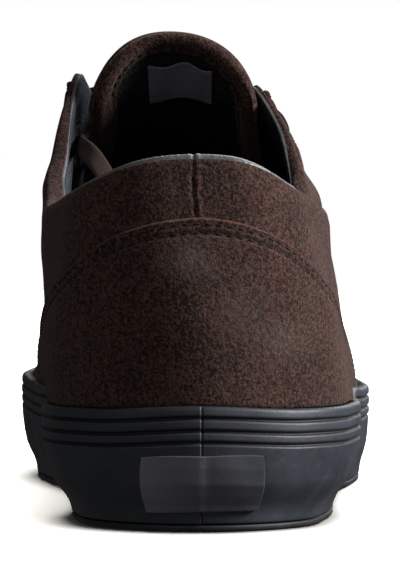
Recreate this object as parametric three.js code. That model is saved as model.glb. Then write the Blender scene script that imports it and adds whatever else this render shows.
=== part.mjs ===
// Low skateboarding shoe for the right foot: a suede upper with a padded collar, lasted into a rubber
// sole with a ribbed side wall. Millimetres. +Z is up, +Y points to the toe, +X to the outer side.
// While it is built, y starts at the back of the heel and z at the floor. The last lines move the
// origin to the middle of the footprint.
import * as THREE from 'three';

// Driving dimensions
const LENGTH = 296;
const BALL_WIDTH = 101;
const HEEL_HEIGHT = 86;
const TONGUE_TOP = 122;
const WALL = 2.4;
const GAP = 0.3;
const ROUND_STEPS = 64;
const EYELET_SIDES = 10;

// Sole
const TOE_SPRING = 9;
const SPRING_START = 0.7 * LENGTH;
const ARCH_RISE = 1.2;
const ARCH_SPAN = { from: 84, top: 122, to: 164 };
const HEEL_BEVEL = { rise: 1, run: 10 };
const PLATE = 1.5;
const PLATE_LIP = { reach: 0.3, chamfer: 0.9, chamferTop: 0.5 };
const CORE_TOP = 15.5;
const CORE_TOP_INSET = 4.2;
const FOXING_WALL = { top: 2.8, foot: 3.2 };
const CORE_GAP = FOXING_WALL.foot + 0.4;
const RIB_DROPS = [2.8, 5.7, 8.3];
const GROOVE = { half: 0.4, depth: 0.5 };
const WALL_CHAMFER = 0.7;
// Share of the taper that is left at each height of the side wall's lower part
const TAPER_LEFT = [[PLATE + GAP, 1], [6, 0.9], [10.5, 0.38], [18, 0.05]];
const UPPER_INSET = FOXING_WALL.top + GAP;
const INSOLE = { inset: 6, thick: 4 };

// The closed outline of the shoe, one row for each rib of the last, from the heel round the outer
// side to the toe and back along the inner side.
// along, across: the sole's outline, in percent of LENGTH and of BALL_WIDTH.
// band: height of the side wall. taper: how far that wall draws in towards the floor.
// edgeAlong, edgeAcross, edgeHigh: the opening's edge, in percent of LENGTH, BALL_WIDTH, HEEL_HEIGHT.
// lean, leanPull: the rib's direction where it leaves the sole, in degrees outwards, and its pull.
// tuck, tuckPull: its direction where it meets the edge, in degrees inwards, and its pull.
// pad: foam between shell and lining at the edge.
const COLUMNS = [
  'name', 'along', 'across', 'band', 'taper', 'edgeAlong', 'edgeAcross', 'edgeHigh',
  'lean', 'leanPull', 'tuck', 'tuckPull', 'pad',
];
const STATIONS = [
  ['heel_back', 0, 0, 28, 6.6, 2, 0, 96.5, 7, 20, 12, 18, 4.2],
  ['heel_turn_outer', 2.2, 19.8, 28, 6.6, 2.7, 12.8, 94.7, 8, 18, 14, 18, 4.2],
  ['heel_side_outer', 6.5, 31.5, 28, 6.6, 5.8, 22.1, 89.1, 5, 17, 12, 17, 4.2],
  ['ankle_outer', 14, 37.1, 28, 6.2, 14.2, 29.3, 84, -6, 16, 4, 16, 4.2],
  ['collar_outer', 30, 39.1, 27.5, 4.6, 27, 27.7, 89.3, -3, 16, 9, 18, 3.2],
  ['flap_back_outer', 37, 40.3, 27.5, 4.4, 33.4, 21, 114, 6, 22, 25, 26, 0.2],
  ['flap_top_outer', 40, 41.1, 27.5, 4.2, 36, 15.6, 124.4, 3, 25, 28, 28, 0],
  ['flap_front_outer', 42.5, 41.6, 27.5, 4.2, 38.5, 14.8, 123, -1, 23, 40, 28, 0],
  ['throat_high_outer', 47, 42.6, 27.4, 3.8, 43.9, 14.3, 113.7, -4, 21, 58, 25, 0],
  ['throat_mid_outer', 56, 45.7, 27.2, 2.8, 52.4, 13.3, 99.8, -5, 18, 66, 22, 0],
  ['throat_low_outer', 65.9, 48.5, 27.2, 2.4, 59.5, 11.3, 89.3, -10, 14, 71, 27, 0],
  ['throat_turn_outer', 78, 45.1, 28.3, 2.8, 64.9, 6.9, 82.6, -3, 14, 72, 31, 0],
  ['toe_side_outer', 90.4, 32.4, 29.6, 3.4, 67.1, 1, 80.1, 4, 15, 72, 38, 0],
  ['toe_turn_outer', 97.3, 17.9, 30.6, 3.3, 67.6, -1.9, 79.8, 9, 17, 72, 43, 0],
  ['toe_tip', 100, -4.7, 30.6, 3.3, 67.7, -4, 79.7, 10, 17, 72, 45, 0],
  ['toe_turn_inner', 97.6, -27.1, 30.6, 3.3, 67.6, -5.9, 79.8, 9, 17, 72, 43, 0],
  ['toe_side_inner', 91.6, -40.6, 29.8, 3.4, 67.1, -8.9, 80.2, 4, 15, 72, 38, 0],
  ['throat_turn_inner', 80.1, -49.7, 30.3, 3.6, 64.9, -14.4, 82.9, -4, 14, 72, 31, 0],
  ['throat_low_inner', 68.6, -51.6, 30.3, 3.7, 59.5, -18.8, 89.9, -9, 14, 70, 27, 0],
  ['throat_mid_inner', 57.4, -46.7, 28.6, 3.8, 52.4, -23.6, 101.4, 1, 19, 62, 20, 0],
  ['throat_high_inner', 47.5, -40.2, 27.6, 4, 43.9, -27.9, 116.3, 6, 26, 40, 22, 0],
  ['flap_front_inner', 42.6, -37.2, 27.6, 4.2, 38.5, -31.2, 125.6, 10, 28, 17, 22, 0],
  ['flap_top_inner', 39.9, -36, 27.5, 4.2, 36, -32.6, 127.8, 12, 26, 9, 24, 0],
  ['flap_back_inner', 36.8, -35.4, 27.5, 4.4, 33.4, -34.9, 118.1, 14, 24, 8, 24, 0.8],
  ['collar_inner', 28.4, -34.9, 27.5, 4.8, 27, -38.2, 92.2, 15, 18, 4, 16, 3],
  ['ankle_inner', 14, -37.1, 28, 6.2, 14.2, -35.3, 84.7, 9, 16, 3, 16, 4.2],
  ['heel_side_inner', 6.5, -31.5, 28, 6.6, 5.8, -27.5, 89.5, 10, 17, 10, 17, 4.2],
  ['heel_turn_inner', 2.2, -19.8, 28, 6.6, 2.7, -15.5, 94.9, 8, 18, 13, 18, 4.2],
];
const PAD_STARTS = 0.45;
const PAD_FULL = 0.8;

// Upper edge of the heel counter: distance round the outline from the heel, and height.
const COUNTER_EDGE = [
  [0, 71], [6.5, 70.6], [12, 69.9], [17, 68.8], [22, 67.3], [27, 65.3], [32, 62.6], [37, 59.5],
  [42, 56.8], [50, 53.4], [64, 47.5], [80, 41], [98, 33.8], [112, 29.6],
];
const COUNTER_STEPS = 11;
const OVERLAY = { under: 0.65, over: 1.55 };
const EYESTAY = { nearEdge: 1.2, width: 17, frontWidth: 12, backWidth: 7, crowding: 1.28 };

// The tongue's spine from its top to its foot. bend is the radius that it wraps the instep with.
const TONGUE_COLUMNS = ['across', 'along', 'high', 'half', 'bend', 'thick'];
const TONGUE_ROWS = [
  [-6.9, 98, TONGUE_TOP - 1.2, 21.2, 26, 3.4],
  [-6.9, 103, TONGUE_TOP - 6.3, 21.2, 26, 4.8],
  [-6.9, 110, TONGUE_TOP - 13, 21.4, 26.5, 5.8],
  [-6.8, 120, TONGUE_TOP - 20.3, 21.9, 28, 5.6],
  [-6.6, 140, TONGUE_TOP - 30.8, 24.5, 33, 5],
  [-6, 160, TONGUE_TOP - 41.4, 26, 38, 4.6],
  [-5.2, 178, TONGUE_TOP - 51.4, 24, 44, 4.2],
  [-4.5, 194, TONGUE_TOP - 58.8, 20, 50, 3.6],
  [-4, 208, TONGUE_TOP - 63, 16, 60, 3.2],
];
const TONGUE_CORNER = { run: 17, power: 2.6 };
const TONGUE_LABEL = { left: -0.54, right: 0.32, top: 7, bottom: 19, thick: 0.7 };

// Eyelets and laces
const EYELET_ROWS = [122, 134, 146, 158, 170, 182];
const EYELET = { fromEdge: 9, outer: 4, inner: 2.3, thick: 0.5, chamfer: 0.4, lift: 0.1 };
const LACE = { width: 7, thick: 1.2, overTongue: 1 };
const LACE_END = [
  [-30.9, 118, 93.6], [-31.3, 112, 93], [-31, 105, 92.2], [-30, 98.3, 91.2],
  [-28.3, 92, 89.7], [-26.2, 87, 87.2], [-23.8, 82.3, 83.4], [-20.9, 77, 76.6],
  [-18.1, 71.2, 66.5], [-16.2, 67.4, 55], [-15, 66, 43.5], [-14.3, 67.6, 33.2],
  [-13.8, 72.8, 25.4], [-13.5, 80, 21.9], [-13.3, 88, 21.1],
];

// Heel patch, on the side wall at the back of the heel
const PATCH = { left: -13.1, right: 14.5, bottom: 4.7, top: 17.1, thick: 0.9 };

const UP = new THREE.Vector3(0, 0, 1);
const radians = THREE.MathUtils.degToRad;

function smooth(from, to, value) {
  return THREE.MathUtils.smoothstep(value, from, to);
}

function namedRows(columns, rows) {
  return rows.map((cells) => Object.fromEntries(columns.map((name, i) => [name, cells[i]])));
}

// Closed curves through the station table
const stations = namedRows(COLUMNS, STATIONS);
const toeRow = stations.findIndex((row) => row.name === 'toe_tip');

function planOf(row) {
  return new THREE.Vector2((row.across * BALL_WIDTH) / 100, (row.along * LENGTH) / 100);
}

// Each station's place t round the outline: 0 at the heel, 0.5 at the toe, by length on each side.
function stationPlaces() {
  const walked = [0];
  for (let i = 0; i < stations.length; i += 1) {
    const next = stations[(i + 1) % stations.length];
    walked.push(walked[i] + planOf(stations[i]).distanceTo(planOf(next)));
  }
  const toToe = walked[toeRow];
  const toHeel = walked[stations.length] - toToe;
  return walked.map((far) => 0.5 * (far <= toToe ? far / toToe : 1 + (far - toToe) / toHeel));
}
const places = stationPlaces();

function placeOf(name) {
  return places[stations.findIndex((row) => row.name === name)];
}

function closedCurve(column) {
  const count = stations.length;
  const value = (i) => stations[(i + count) % count][column];
  const place = (i) => places[(i + count) % count] + Math.floor(i / count);
  const slope = (i) => {
    const before = place(i) - place(i - 1);
    const after = place(i + 1) - place(i);
    const behind = (value(i) - value(i - 1)) / before;
    const ahead = (value(i + 1) - value(i)) / after;
    return (behind * after + ahead * before) / (before + after);
  };
  const slopes = stations.map((row, i) => slope(i));
  return (t) => {
    const turn = t - Math.floor(t);
    let i = 0;
    while (places[i + 1] <= turn) i += 1;
    const span = places[i + 1] - places[i];
    const x = (turn - places[i]) / span;
    const hump = x * (1 - x) * span;
    const blend = x * x * (3 - 2 * x);
    const bow = hump * ((1 - x) * slopes[i] - x * slopes[(i + 1) % count]);
    return value(i) * (1 - blend) + value(i + 1) * blend + bow;
  };
}
const around = Object.fromEntries(COLUMNS.slice(1).map((name) => [name, closedCurve(name)]));

function outlinePoint(t) {
  return new THREE.Vector2((around.across(t) * BALL_WIDTH) / 100, (around.along(t) * LENGTH) / 100);
}

function edgePoint(t) {
  const x = (around.edgeAcross(t) * BALL_WIDTH) / 100;
  const y = (around.edgeAlong(t) * LENGTH) / 100;
  return new THREE.Vector3(x, y, (around.edgeHigh(t) * HEEL_HEIGHT) / 100);
}

// Unit vector in plan that points to the inside of a loop that runs counterclockwise.
function inwards(loop, t) {
  const step = 1e-4;
  const ahead = loop(t + step);
  const behind = loop(t - step);
  return new THREE.Vector3(behind.y - ahead.y, ahead.x - behind.x, 0).normalize();
}

// Height of the sole's underside above the floor
function ground(y) {
  const spring = Math.max(0, (y - SPRING_START) / (LENGTH - SPRING_START));
  const bevel = Math.max(0, 1 - y / HEEL_BEVEL.run);
  const { from, top, to } = ARCH_SPAN;
  const arch = smooth(from, top, y) - smooth(top, to, y);
  return TOE_SPRING * spring ** 2 + HEEL_BEVEL.rise * bevel ** 2 + ARCH_RISE * arch;
}

// A point of the sole, by its place round the outline, its inset and its height over the underside.
function solePoint(t, inset, high) {
  const plan = outlinePoint(t);
  const inner = inwards(outlinePoint, t);
  const x = plan.x + inner.x * inset;
  const y = plan.y + inner.y * inset;
  return new THREE.Vector3(x, y, ground(y) + high);
}

// Unit vector tilted from upright by an angle in degrees, towards a direction in plan
function tilted(degrees, towards) {
  const angle = radians(degrees);
  return UP.clone().multiplyScalar(Math.cos(angle)).addScaledVector(towards, Math.sin(angle));
}

// The upper's outer face: a rib at each place t, from the side wall's top to the opening's edge.
function rib(t) {
  const foot = solePoint(t, UPPER_INSET, around.band(t));
  const edge = edgePoint(t);
  const leave = tilted(-around.lean(t), inwards(outlinePoint, t));
  const arrive = tilted(around.tuck(t), inwards(edgePoint, t));
  const low = foot.clone().addScaledVector(leave, around.leanPull(t));
  const high = edge.clone().addScaledVector(arrive, -around.tuckPull(t));
  return new THREE.CubicBezierCurve3(foot, low, high, edge);
}

function skinNormal(t, v) {
  const step = 1e-3;
  const forward = rib(t + step).getPoint(v).sub(rib(t - step).getPoint(v));
  return forward.cross(rib(t).getTangent(v)).normalize();
}

function skin(t, v, lift = 0) {
  const point = rib(t).getPoint(v);
  return lift === 0 ? point : point.addScaledVector(skinNormal(t, v), lift);
}

function search(low, high, isBelow) {
  let from = low;
  let to = high;
  for (let i = 0; i < 40; i += 1) {
    const middle = (from + to) / 2;
    if (isBelow(middle)) from = middle;
    else to = middle;
  }
  return (from + to) / 2;
}

// Place on a rib, from 0 at the side wall to 1 at the edge, by height or by distance from the edge.
function ribAtHeight(t, high) {
  const curve = rib(t);
  return search(0, 1, (v) => curve.getPoint(v).z < high);
}

function ribFromEdge(t, distance) {
  const curve = rib(t);
  return search(0, 1, (v) => curve.getPoint(v).distanceTo(curve.v3) > distance);
}

// Place round the throat where the edge has this y, on the outer or the inner side.
function throatPlace(y, side) {
  const top = placeOf(side > 0 ? 'flap_top_outer' : 'flap_top_inner');
  return search(top, 0.5, (t) => edgePoint(t).y < y);
}

// Meshes from grids of points
function geometryFrom(points, faces) {
  const geometry = new THREE.BufferGeometry();
  const numbers = points.flatMap((point) => point.toArray());
  geometry.setAttribute('position', new THREE.Float32BufferAttribute(numbers, 3));
  let volume = 0;
  faces.forEach(([a, b, c]) => {
    volume += points[a].dot(new THREE.Vector3().crossVectors(points[b], points[c]));
  });
  geometry.setIndex(faces.flatMap(([a, b, c]) => (volume > 0 ? [a, b, c] : [a, c, b])));
  geometry.computeVertexNormals();
  return geometry;
}

function quad(a, b, c, d) {
  return [[a, b, c], [a, c, d]];
}

// A closed section carried round the shoe: section(t) gives its points in order.
function ringGeometry(section, steps = ROUND_STEPS) {
  const loops = Array.from({ length: steps }, (_, i) => section(i / steps));
  const size = loops[0].length;
  const faces = [];
  for (let i = 0; i < steps; i += 1) {
    const next = (i + 1) % steps;
    for (let j = 0; j < size; j += 1) {
      const k = (j + 1) % size;
      faces.push(...quad(i * size + j, next * size + j, next * size + k, i * size + k));
    }
  }
  return geometryFrom(loops.flat(), faces);
}

// Loops round the shoe, stacked from the bottom up, with rungs from side to side closing both ends.
function stackGeometry(loops, steps = ROUND_STEPS) {
  const points = loops.flatMap((loop) => Array.from({ length: steps }, (_, i) => loop(i / steps)));
  const faces = [];
  for (let level = 0; level + 1 < loops.length; level += 1) {
    for (let i = 0; i < steps; i += 1) {
      const a = level * steps + i;
      const b = level * steps + ((i + 1) % steps);
      faces.push(...quad(a, b, b + steps, a + steps));
    }
  }
  const half = steps / 2;
  const top = (loops.length - 1) * steps;
  for (let i = 0; i < half; i += 1) {
    const right = [i, i + 1];
    const left = [(steps - i) % steps, steps - i - 1];
    const rung = [right[0], left[0], left[1], right[1]];
    const corners = rung.filter((corner, k) => rung.indexOf(corner) === k);
    for (let k = 1; k + 1 < corners.length; k += 1) {
      faces.push([corners[0], corners[k], corners[k + 1]]);
      faces.push([top + corners[0], top + corners[k + 1], top + corners[k]]);
    }
  }
  return geometryFrom(points, faces);
}

// A patch with two faces and a rim: place(i, j, side) gives its points, side 0 below and 1 above.
function slabGeometry(columns, rows, place) {
  const points = [];
  const index = (i, j, side) => side * (columns + 1) * (rows + 1) + j * (columns + 1) + i;
  for (let side = 0; side < 2; side += 1) {
    for (let j = 0; j <= rows; j += 1) {
      for (let i = 0; i <= columns; i += 1) points.push(place(i, j, side));
    }
  }
  const faces = [];
  for (let j = 0; j < rows; j += 1) {
    for (let i = 0; i < columns; i += 1) {
      const cell = [[i, j], [i + 1, j], [i + 1, j + 1], [i, j + 1]];
      const [upper, lower] = [1, 0].map((side) => cell.map(([m, n]) => index(m, n, side)));
      faces.push(...quad(...upper), ...quad(...lower.reverse()));
    }
  }
  const rim = ([i, j], [m, n]) => quad(index(i, j, 0), index(m, n, 0), index(m, n, 1), index(i, j, 1));
  for (let i = 0; i < columns; i += 1) {
    faces.push(...rim([i, 0], [i + 1, 0]));
    faces.push(...rim([i + 1, rows], [i, rows]));
  }
  for (let j = 0; j < rows; j += 1) {
    faces.push(...rim([0, j + 1], [0, j]));
    faces.push(...rim([columns, j], [columns, j + 1]));
  }
  return geometryFrom(points, faces);
}

// A flat band swept along points. flat(i) gives the direction of its width at point i.
function bandGeometry(points, flat, width, thick) {
  const half = [[-0.5, 0], [-0.38, -0.5], [0.38, -0.5], [0.5, 0], [0.38, 0.5], [-0.38, 0.5]];
  const size = half.length;
  const last = points.length - 1;
  const rings = points.map((point, i) => {
    const tangent = points[Math.min(i + 1, last)].clone().sub(points[Math.max(i - 1, 0)]).normalize();
    const side = flat(i).clone();
    side.addScaledVector(tangent, -side.dot(tangent)).normalize();
    const face = new THREE.Vector3().crossVectors(tangent, side);
    return half.map(([a, b]) => {
      const corner = point.clone().addScaledVector(side, a * width);
      return corner.addScaledVector(face, b * thick);
    });
  });
  const faces = [];
  for (let i = 0; i < last; i += 1) {
    for (let j = 0; j < size; j += 1) {
      const k = (j + 1) % size;
      faces.push(...quad(i * size + j, (i + 1) * size + j, (i + 1) * size + k, i * size + k));
    }
  }
  for (let j = 1; j + 1 < size; j += 1) {
    faces.push([0, j, j + 1]);
    faces.push([last * size, last * size + j + 1, last * size + j]);
  }
  return geometryFrom(rings.flat(), faces);
}

const MATERIALS = {
  suede: new THREE.MeshStandardMaterial({ color: 0x3a2723, roughness: 0.95, metalness: 0 }),
  rubber: new THREE.MeshStandardMaterial({ color: 0x14171d, roughness: 0.5, metalness: 0 }),
  patch: new THREE.MeshStandardMaterial({ color: 0x24262d, roughness: 0.55, metalness: 0 }),
  lining: new THREE.MeshStandardMaterial({ color: 0x15161b, roughness: 0.85, metalness: 0 }),
  label: new THREE.MeshStandardMaterial({ color: 0x3a3d4b, roughness: 0.8, metalness: 0 }),
  eyelet: new THREE.MeshStandardMaterial({ color: 0x1d1715, roughness: 0.4, metalness: 0.6 }),
  lace: new THREE.MeshStandardMaterial({ color: 0x33241f, roughness: 0.9, metalness: 0 }),
};
const shoe = new THREE.Group();

function addPiece(name, geometry, material) {
  const mesh = new THREE.Mesh(geometry, material);
  mesh.name = name;
  shoe.add(mesh);
}

// Outsole: a thin plate that shows under the side wall, and the core that the wall is wrapped round.
function outsoleGeometry() {
  const level = (inset, high) => (t) => solePoint(t, foxingOuterInset(t, high) + inset, high);
  const loops = [
    level(PLATE_LIP.chamfer - PLATE_LIP.reach, 0),
    level(-PLATE_LIP.reach, PLATE_LIP.chamferTop),
    level(-PLATE_LIP.reach, PLATE),
    level(CORE_GAP, PLATE),
    level(CORE_GAP, 6),
    level(CORE_GAP, 10.5),
    (t) => solePoint(t, CORE_TOP_INSET, CORE_TOP),
  ];
  return stackGeometry(loops);
}

// Side wall: a smooth lower part that draws in towards the floor, under a band with three grooves.
function foxingOuterInset(t, high) {
  const taper = around.taper(t);
  const k = TAPER_LEFT.findIndex(([level]) => high < level);
  if (k < 0) return 0;
  if (k === 0) return taper;
  const [[low, lowShare], [top, topShare]] = [TAPER_LEFT[k - 1], TAPER_LEFT[k]];
  return taper * THREE.MathUtils.mapLinear(high, low, top, lowShare, topShare);
}

function foxingSection(t) {
  const top = around.band(t);
  const foot = FOXING_WALL.foot;
  const wall = [PLATE + GAP, 6, 10.5].map((high) => [foxingOuterInset(t, high), high]);
  const outer = wall.slice();
  outer.push([foxingOuterInset(t, 18) + 0.1, top - RIB_DROPS[2] - GROOVE.half - 0.2]);
  for (let k = RIB_DROPS.length - 1; k >= 0; k -= 1) {
    outer.push([GROOVE.depth, top - RIB_DROPS[k]], [0, top - RIB_DROPS[k] + GROOVE.half]);
    if (k > 0) outer.push([0, top - RIB_DROPS[k - 1] - GROOVE.half]);
  }
  outer.push([0, top - WALL_CHAMFER], [WALL_CHAMFER, top]);
  const inner = wall.map(([inset, high]) => [inset + foot, high]);
  inner.push([foot + 0.6, CORE_TOP - 0.7], [FOXING_WALL.top, CORE_TOP], [FOXING_WALL.top, top]);
  return outer.concat(inner.reverse()).map(([inset, high]) => solePoint(t, inset, high));
}

// Patch on the back of the heel
function patchGeometry() {
  const step = walkedLength() / ROUND_STEPS;
  const columns = [PATCH.left, -step, 0, step, PATCH.right];
  const levels = [PATCH.bottom, 6, 10.5, PATCH.top];
  return slabGeometry(columns.length - 1, levels.length - 1, (i, j, side) => {
    const t = (columns[i] / step) / ROUND_STEPS;
    const lift = GAP + side * PATCH.thick;
    return solePoint(t, foxingOuterInset(t, levels[j]) - lift, levels[j]);
  });
}

// Length of the outline from heel to toe on the outer side, doubled
function walkedLength() {
  let far = 0;
  for (let i = 0; i < toeRow; i += 1) far += planOf(stations[i]).distanceTo(planOf(stations[i + 1]));
  return 2 * far;
}

// Upper: a shell with a rounded edge, thicker where the collar is padded, whose foot is a skirt that
// stands inside the side wall.
function wallThickness(t, v) {
  return WALL + around.pad(t) * smooth(PAD_STARTS, PAD_FULL, v);
}

function upperSection(t) {
  const levels = [0, 0.09, 0.2, 0.32, 0.44, 0.56, 0.68, 0.8, 0.9, 1];
  const skirt = CORE_TOP + GAP;
  const outer = levels.map((v) => skin(t, v));
  const inner = levels.map((v) => skin(t, v, -wallThickness(t, v)));
  const rimOuter = outer[outer.length - 1];
  const rimInner = inner[inner.length - 1];
  const middle = rimOuter.clone().add(rimInner).multiplyScalar(0.5);
  const across = rimOuter.clone().sub(middle);
  const crest = rib(t).getTangent(1).multiplyScalar(across.length());
  const rim = [45, 90, 135].map((angle) => {
    const turn = radians(angle);
    return middle.clone().addScaledVector(across, Math.cos(turn)).addScaledVector(crest, Math.sin(turn));
  });
  inner[0] = solePoint(t, UPPER_INSET + WALL, around.band(t));
  const feet = [solePoint(t, UPPER_INSET + WALL, skirt), solePoint(t, UPPER_INSET, skirt)];
  return outer.concat(rim, inner.reverse(), feet);
}

// Heel counter: an overlay from the side wall up to its arched edge
function counterGeometry() {
  const rows = 6;
  const step = walkedLength() / ROUND_STEPS;
  const nodes = COUNTER_EDGE.map(([far, high]) => new THREE.Vector3(far, high, 0));
  const edge = new THREE.CatmullRomCurve3(nodes);
  const highAt = (far) => edge.getPoint(search(0, 1, (u) => edge.getPoint(u).x < far)).y;
  return slabGeometry(2 * COUNTER_STEPS, rows, (i, j, side) => {
    const turn = i - COUNTER_STEPS;
    const t = turn / ROUND_STEPS;
    const low = ribAtHeight(t, rib(t).v0.z + 0.5);
    const high = ribAtHeight(t, highAt(Math.abs(turn) * step));
    return skin(t, low + ((high - low) * j) / rows, side ? OVERLAY.over : OVERLAY.under);
  });
}

// Eyestay: an overlay round the throat, from the top of one flap to the top of the other
function eyestayGeometry() {
  const rows = 3;
  const first = Math.ceil(placeOf('flap_back_outer') * ROUND_STEPS);
  const last = Math.floor(placeOf('flap_back_inner') * ROUND_STEPS);
  return slabGeometry(last - first, rows, (i, j, side) => {
    const t = (first + i) / ROUND_STEPS;
    const fromToe = Math.abs(t - 0.5);
    const front = 1 - smooth(0.06, 0.16, fromToe);
    const back = smooth(0.5 - placeOf('flap_front_outer'), 0.5 - placeOf('flap_back_outer'), fromToe);
    const narrowed = THREE.MathUtils.lerp(EYESTAY.width, EYESTAY.frontWidth, front);
    const width = THREE.MathUtils.lerp(narrowed, EYESTAY.backWidth, back);
    const high = ribFromEdge(t, EYESTAY.nearEdge);
    const low = ribFromEdge(t, EYESTAY.nearEdge + width);
    const share = 1 - (1 - j / rows) ** EYESTAY.crowding;
    return skin(t, low + (high - low) * share, side ? OVERLAY.over : OVERLAY.under);
  });
}

// Tongue: its spine curve, wrapped round the instep and rounded at its top corners
const tongueRows = namedRows(TONGUE_COLUMNS, TONGUE_ROWS);
const spineNodes = tongueRows.map((row) => new THREE.Vector3(row.across, row.along, row.high));
const spine = new THREE.CatmullRomCurve3(spineNodes);
const spineLength = spine.getLength();

function tongueValue(column, u) {
  const place = u * (tongueRows.length - 1);
  const i = Math.min(Math.floor(place), tongueRows.length - 2);
  return THREE.MathUtils.lerp(tongueRows[i][column], tongueRows[i + 1][column], place - i);
}

// across runs from -1 to 1, far is the distance down the spine, and rise runs from -0.5 to 0.5 of the
// thickness.
function tonguePoint(across, far, rise, extra = 0) {
  const u = spine.getUtoTmapping(Math.min(far / spineLength, 1));
  const centre = spine.getPoint(u);
  const tangent = spine.getTangent(u);
  const normal = new THREE.Vector3(0, -tangent.z, tangent.y).normalize();
  const side = new THREE.Vector3().crossVectors(normal, tangent).normalize();
  const bend = tongueValue('bend', u);
  const turn = Math.asin((across * tongueValue('half', u)) / bend);
  const thick = tongueValue('thick', u) * (1 - 0.45 * across ** 4);
  const radius = bend + thick * rise + extra;
  const point = centre.addScaledVector(normal, radius * Math.cos(turn) - bend);
  return point.addScaledVector(side, radius * Math.sin(turn));
}

function tongueGeometry() {
  const columns = 12;
  const rows = 13;
  return slabGeometry(columns, rows, (i, j, side) => {
    const across = Math.sin(radians(-90 + (180 * i) / columns));
    const start = TONGUE_CORNER.run * (1 - Math.sqrt(1 - Math.abs(across) ** TONGUE_CORNER.power));
    const far = start + ((spineLength - start) * j) / rows;
    return tonguePoint(across, far, side - 0.5);
  });
}

function tongueLabelGeometry() {
  const { left, right, top, bottom, thick } = TONGUE_LABEL;
  return slabGeometry(6, 4, (i, j, side) => {
    const across = left + ((right - left) * i) / 6;
    const far = top + ((bottom - top) * j) / 4;
    return tonguePoint(across, far, -0.5, -GAP - side * thick);
  });
}

// Insole: a flat bed inside the upper's skirt
function insoleGeometry() {
  const low = CORE_TOP + GAP;
  const top = low + INSOLE.thick;
  return stackGeometry([
    (t) => solePoint(t, INSOLE.inset + 0.7, low),
    (t) => solePoint(t, INSOLE.inset, low + 0.7),
    (t) => solePoint(t, INSOLE.inset, top - 0.7),
    (t) => solePoint(t, INSOLE.inset + 0.7, top),
  ]);
}

// Eyelet: a flat ring on the eyestay, square to it
const eyeletProfile = [
  [EYELET.inner, 0], [EYELET.outer, 0], [EYELET.outer - EYELET.chamfer, EYELET.thick],
  [EYELET.inner, EYELET.thick],
];

function eyeletPlace(y, side) {
  const t = throatPlace(y, side);
  return { t, v: ribFromEdge(t, EYELET.fromEdge) };
}

function eyeletGeometry(y, side) {
  const { t, v } = eyeletPlace(y, side);
  const closed = [...eyeletProfile, eyeletProfile[0]];
  const points = closed.map(([radius, high]) => new THREE.Vector2(radius, high));
  const ring = new THREE.LatheGeometry(points, EYELET_SIDES);
  const turn = new THREE.Quaternion().setFromUnitVectors(new THREE.Vector3(0, 1, 0), skinNormal(t, v));
  const seat = skin(t, v, OVERLAY.over + GAP + EYELET.lift);
  return ring.applyQuaternion(turn).translate(seat.x, seat.y, seat.z);
}

// Lace bar: from one eyelet over the tongue to the other, straight or lifted by the tongue
function tongueTop(x, y, extra) {
  const far = search(0, spineLength, (s) => tonguePoint(0, s, 0.5).y < y);
  const half = tongueValue('half', spine.getUtoTmapping(far / spineLength));
  const across = THREE.MathUtils.clamp((x - tonguePoint(0, far, 0).x) / half, -0.98, 0.98);
  const down = search(far, spineLength, (s) => tonguePoint(across, s, 0.5, extra).y < y);
  return tonguePoint(across, down, 0.5, extra).z;
}

function laceBarGeometry(y) {
  const onEyestay = OVERLAY.over + GAP + EYELET.lift + LACE.thick / 2;
  const onEyelet = onEyestay + EYELET.thick + GAP;
  const end = (side, distance, lift) => {
    const t = throatPlace(y, side);
    return skin(t, ribFromEdge(t, distance), lift);
  };
  const overEdge = (side) => {
    const t = throatPlace(y, side);
    const rise = WALL / 2 + 3.5 * GAP + LACE.thick;
    return skin(t, 1, -WALL / 2).addScaledVector(rib(t).getTangent(1), rise);
  };
  const onFlap = (side) => [
    end(side, EYELET.fromEdge, onEyelet),
    end(side, EYELET.fromEdge - EYELET.outer, onEyelet),
    end(side, EYESTAY.nearEdge, onEyestay + GAP),
    overEdge(side),
  ];
  const outer = overEdge(1);
  const inner = overEdge(-1);
  const middles = [0.2, 0.35, 0.5, 0.65, 0.8].map((share) => {
    const point = outer.clone().lerp(inner, share);
    point.z = Math.max(point.z, tongueTop(point.x, point.y, LACE.overTongue + LACE.thick / 2));
    return point;
  });
  const points = [...onFlap(1), ...middles, ...onFlap(-1).reverse()];
  const steps = 17;
  const down = tongueSlope(y);
  const flat = (i) => {
    const share = i / steps;
    const middle = smooth(0.15, 0.4, share) - smooth(0.6, 0.85, share);
    return flapSlope(y, share < 0.5 ? 1 : -1).lerp(down, middle);
  };
  const path = new THREE.CatmullRomCurve3(points).getPoints(steps);
  return bandGeometry(path, flat, LACE.width, LACE.thick);
}

// Directions towards the toe, along the tongue and along the flap's edge
function tongueSlope(y) {
  const far = search(0, spineLength, (s) => tonguePoint(0, s, 0.5).y < y);
  return spine.getTangent(spine.getUtoTmapping(far / spineLength));
}

function flapSlope(y, side) {
  const { t, v } = eyeletPlace(y, side);
  const step = 2e-3 * side;
  return skin(t + step, v).sub(skin(t - step, v)).normalize();
}

// Loose lace end, from the top eyelet of the inner side down to the insole
function laceEndGeometry() {
  const curve = new THREE.CatmullRomCurve3(LACE_END.map((cells) => new THREE.Vector3(...cells)));
  const steps = 26;
  const points = curve.getPoints(steps);
  const onFlap = new THREE.Vector3(0.1, 0.7, 0.8).normalize();
  const inShoe = new THREE.Vector3(1, 0.25, 0.1).normalize();
  const flat = (i) => onFlap.clone().lerp(inShoe, smooth(0.15, 0.5, i / steps));
  return bandGeometry(points, flat, LACE.width, LACE.thick);
}

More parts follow.
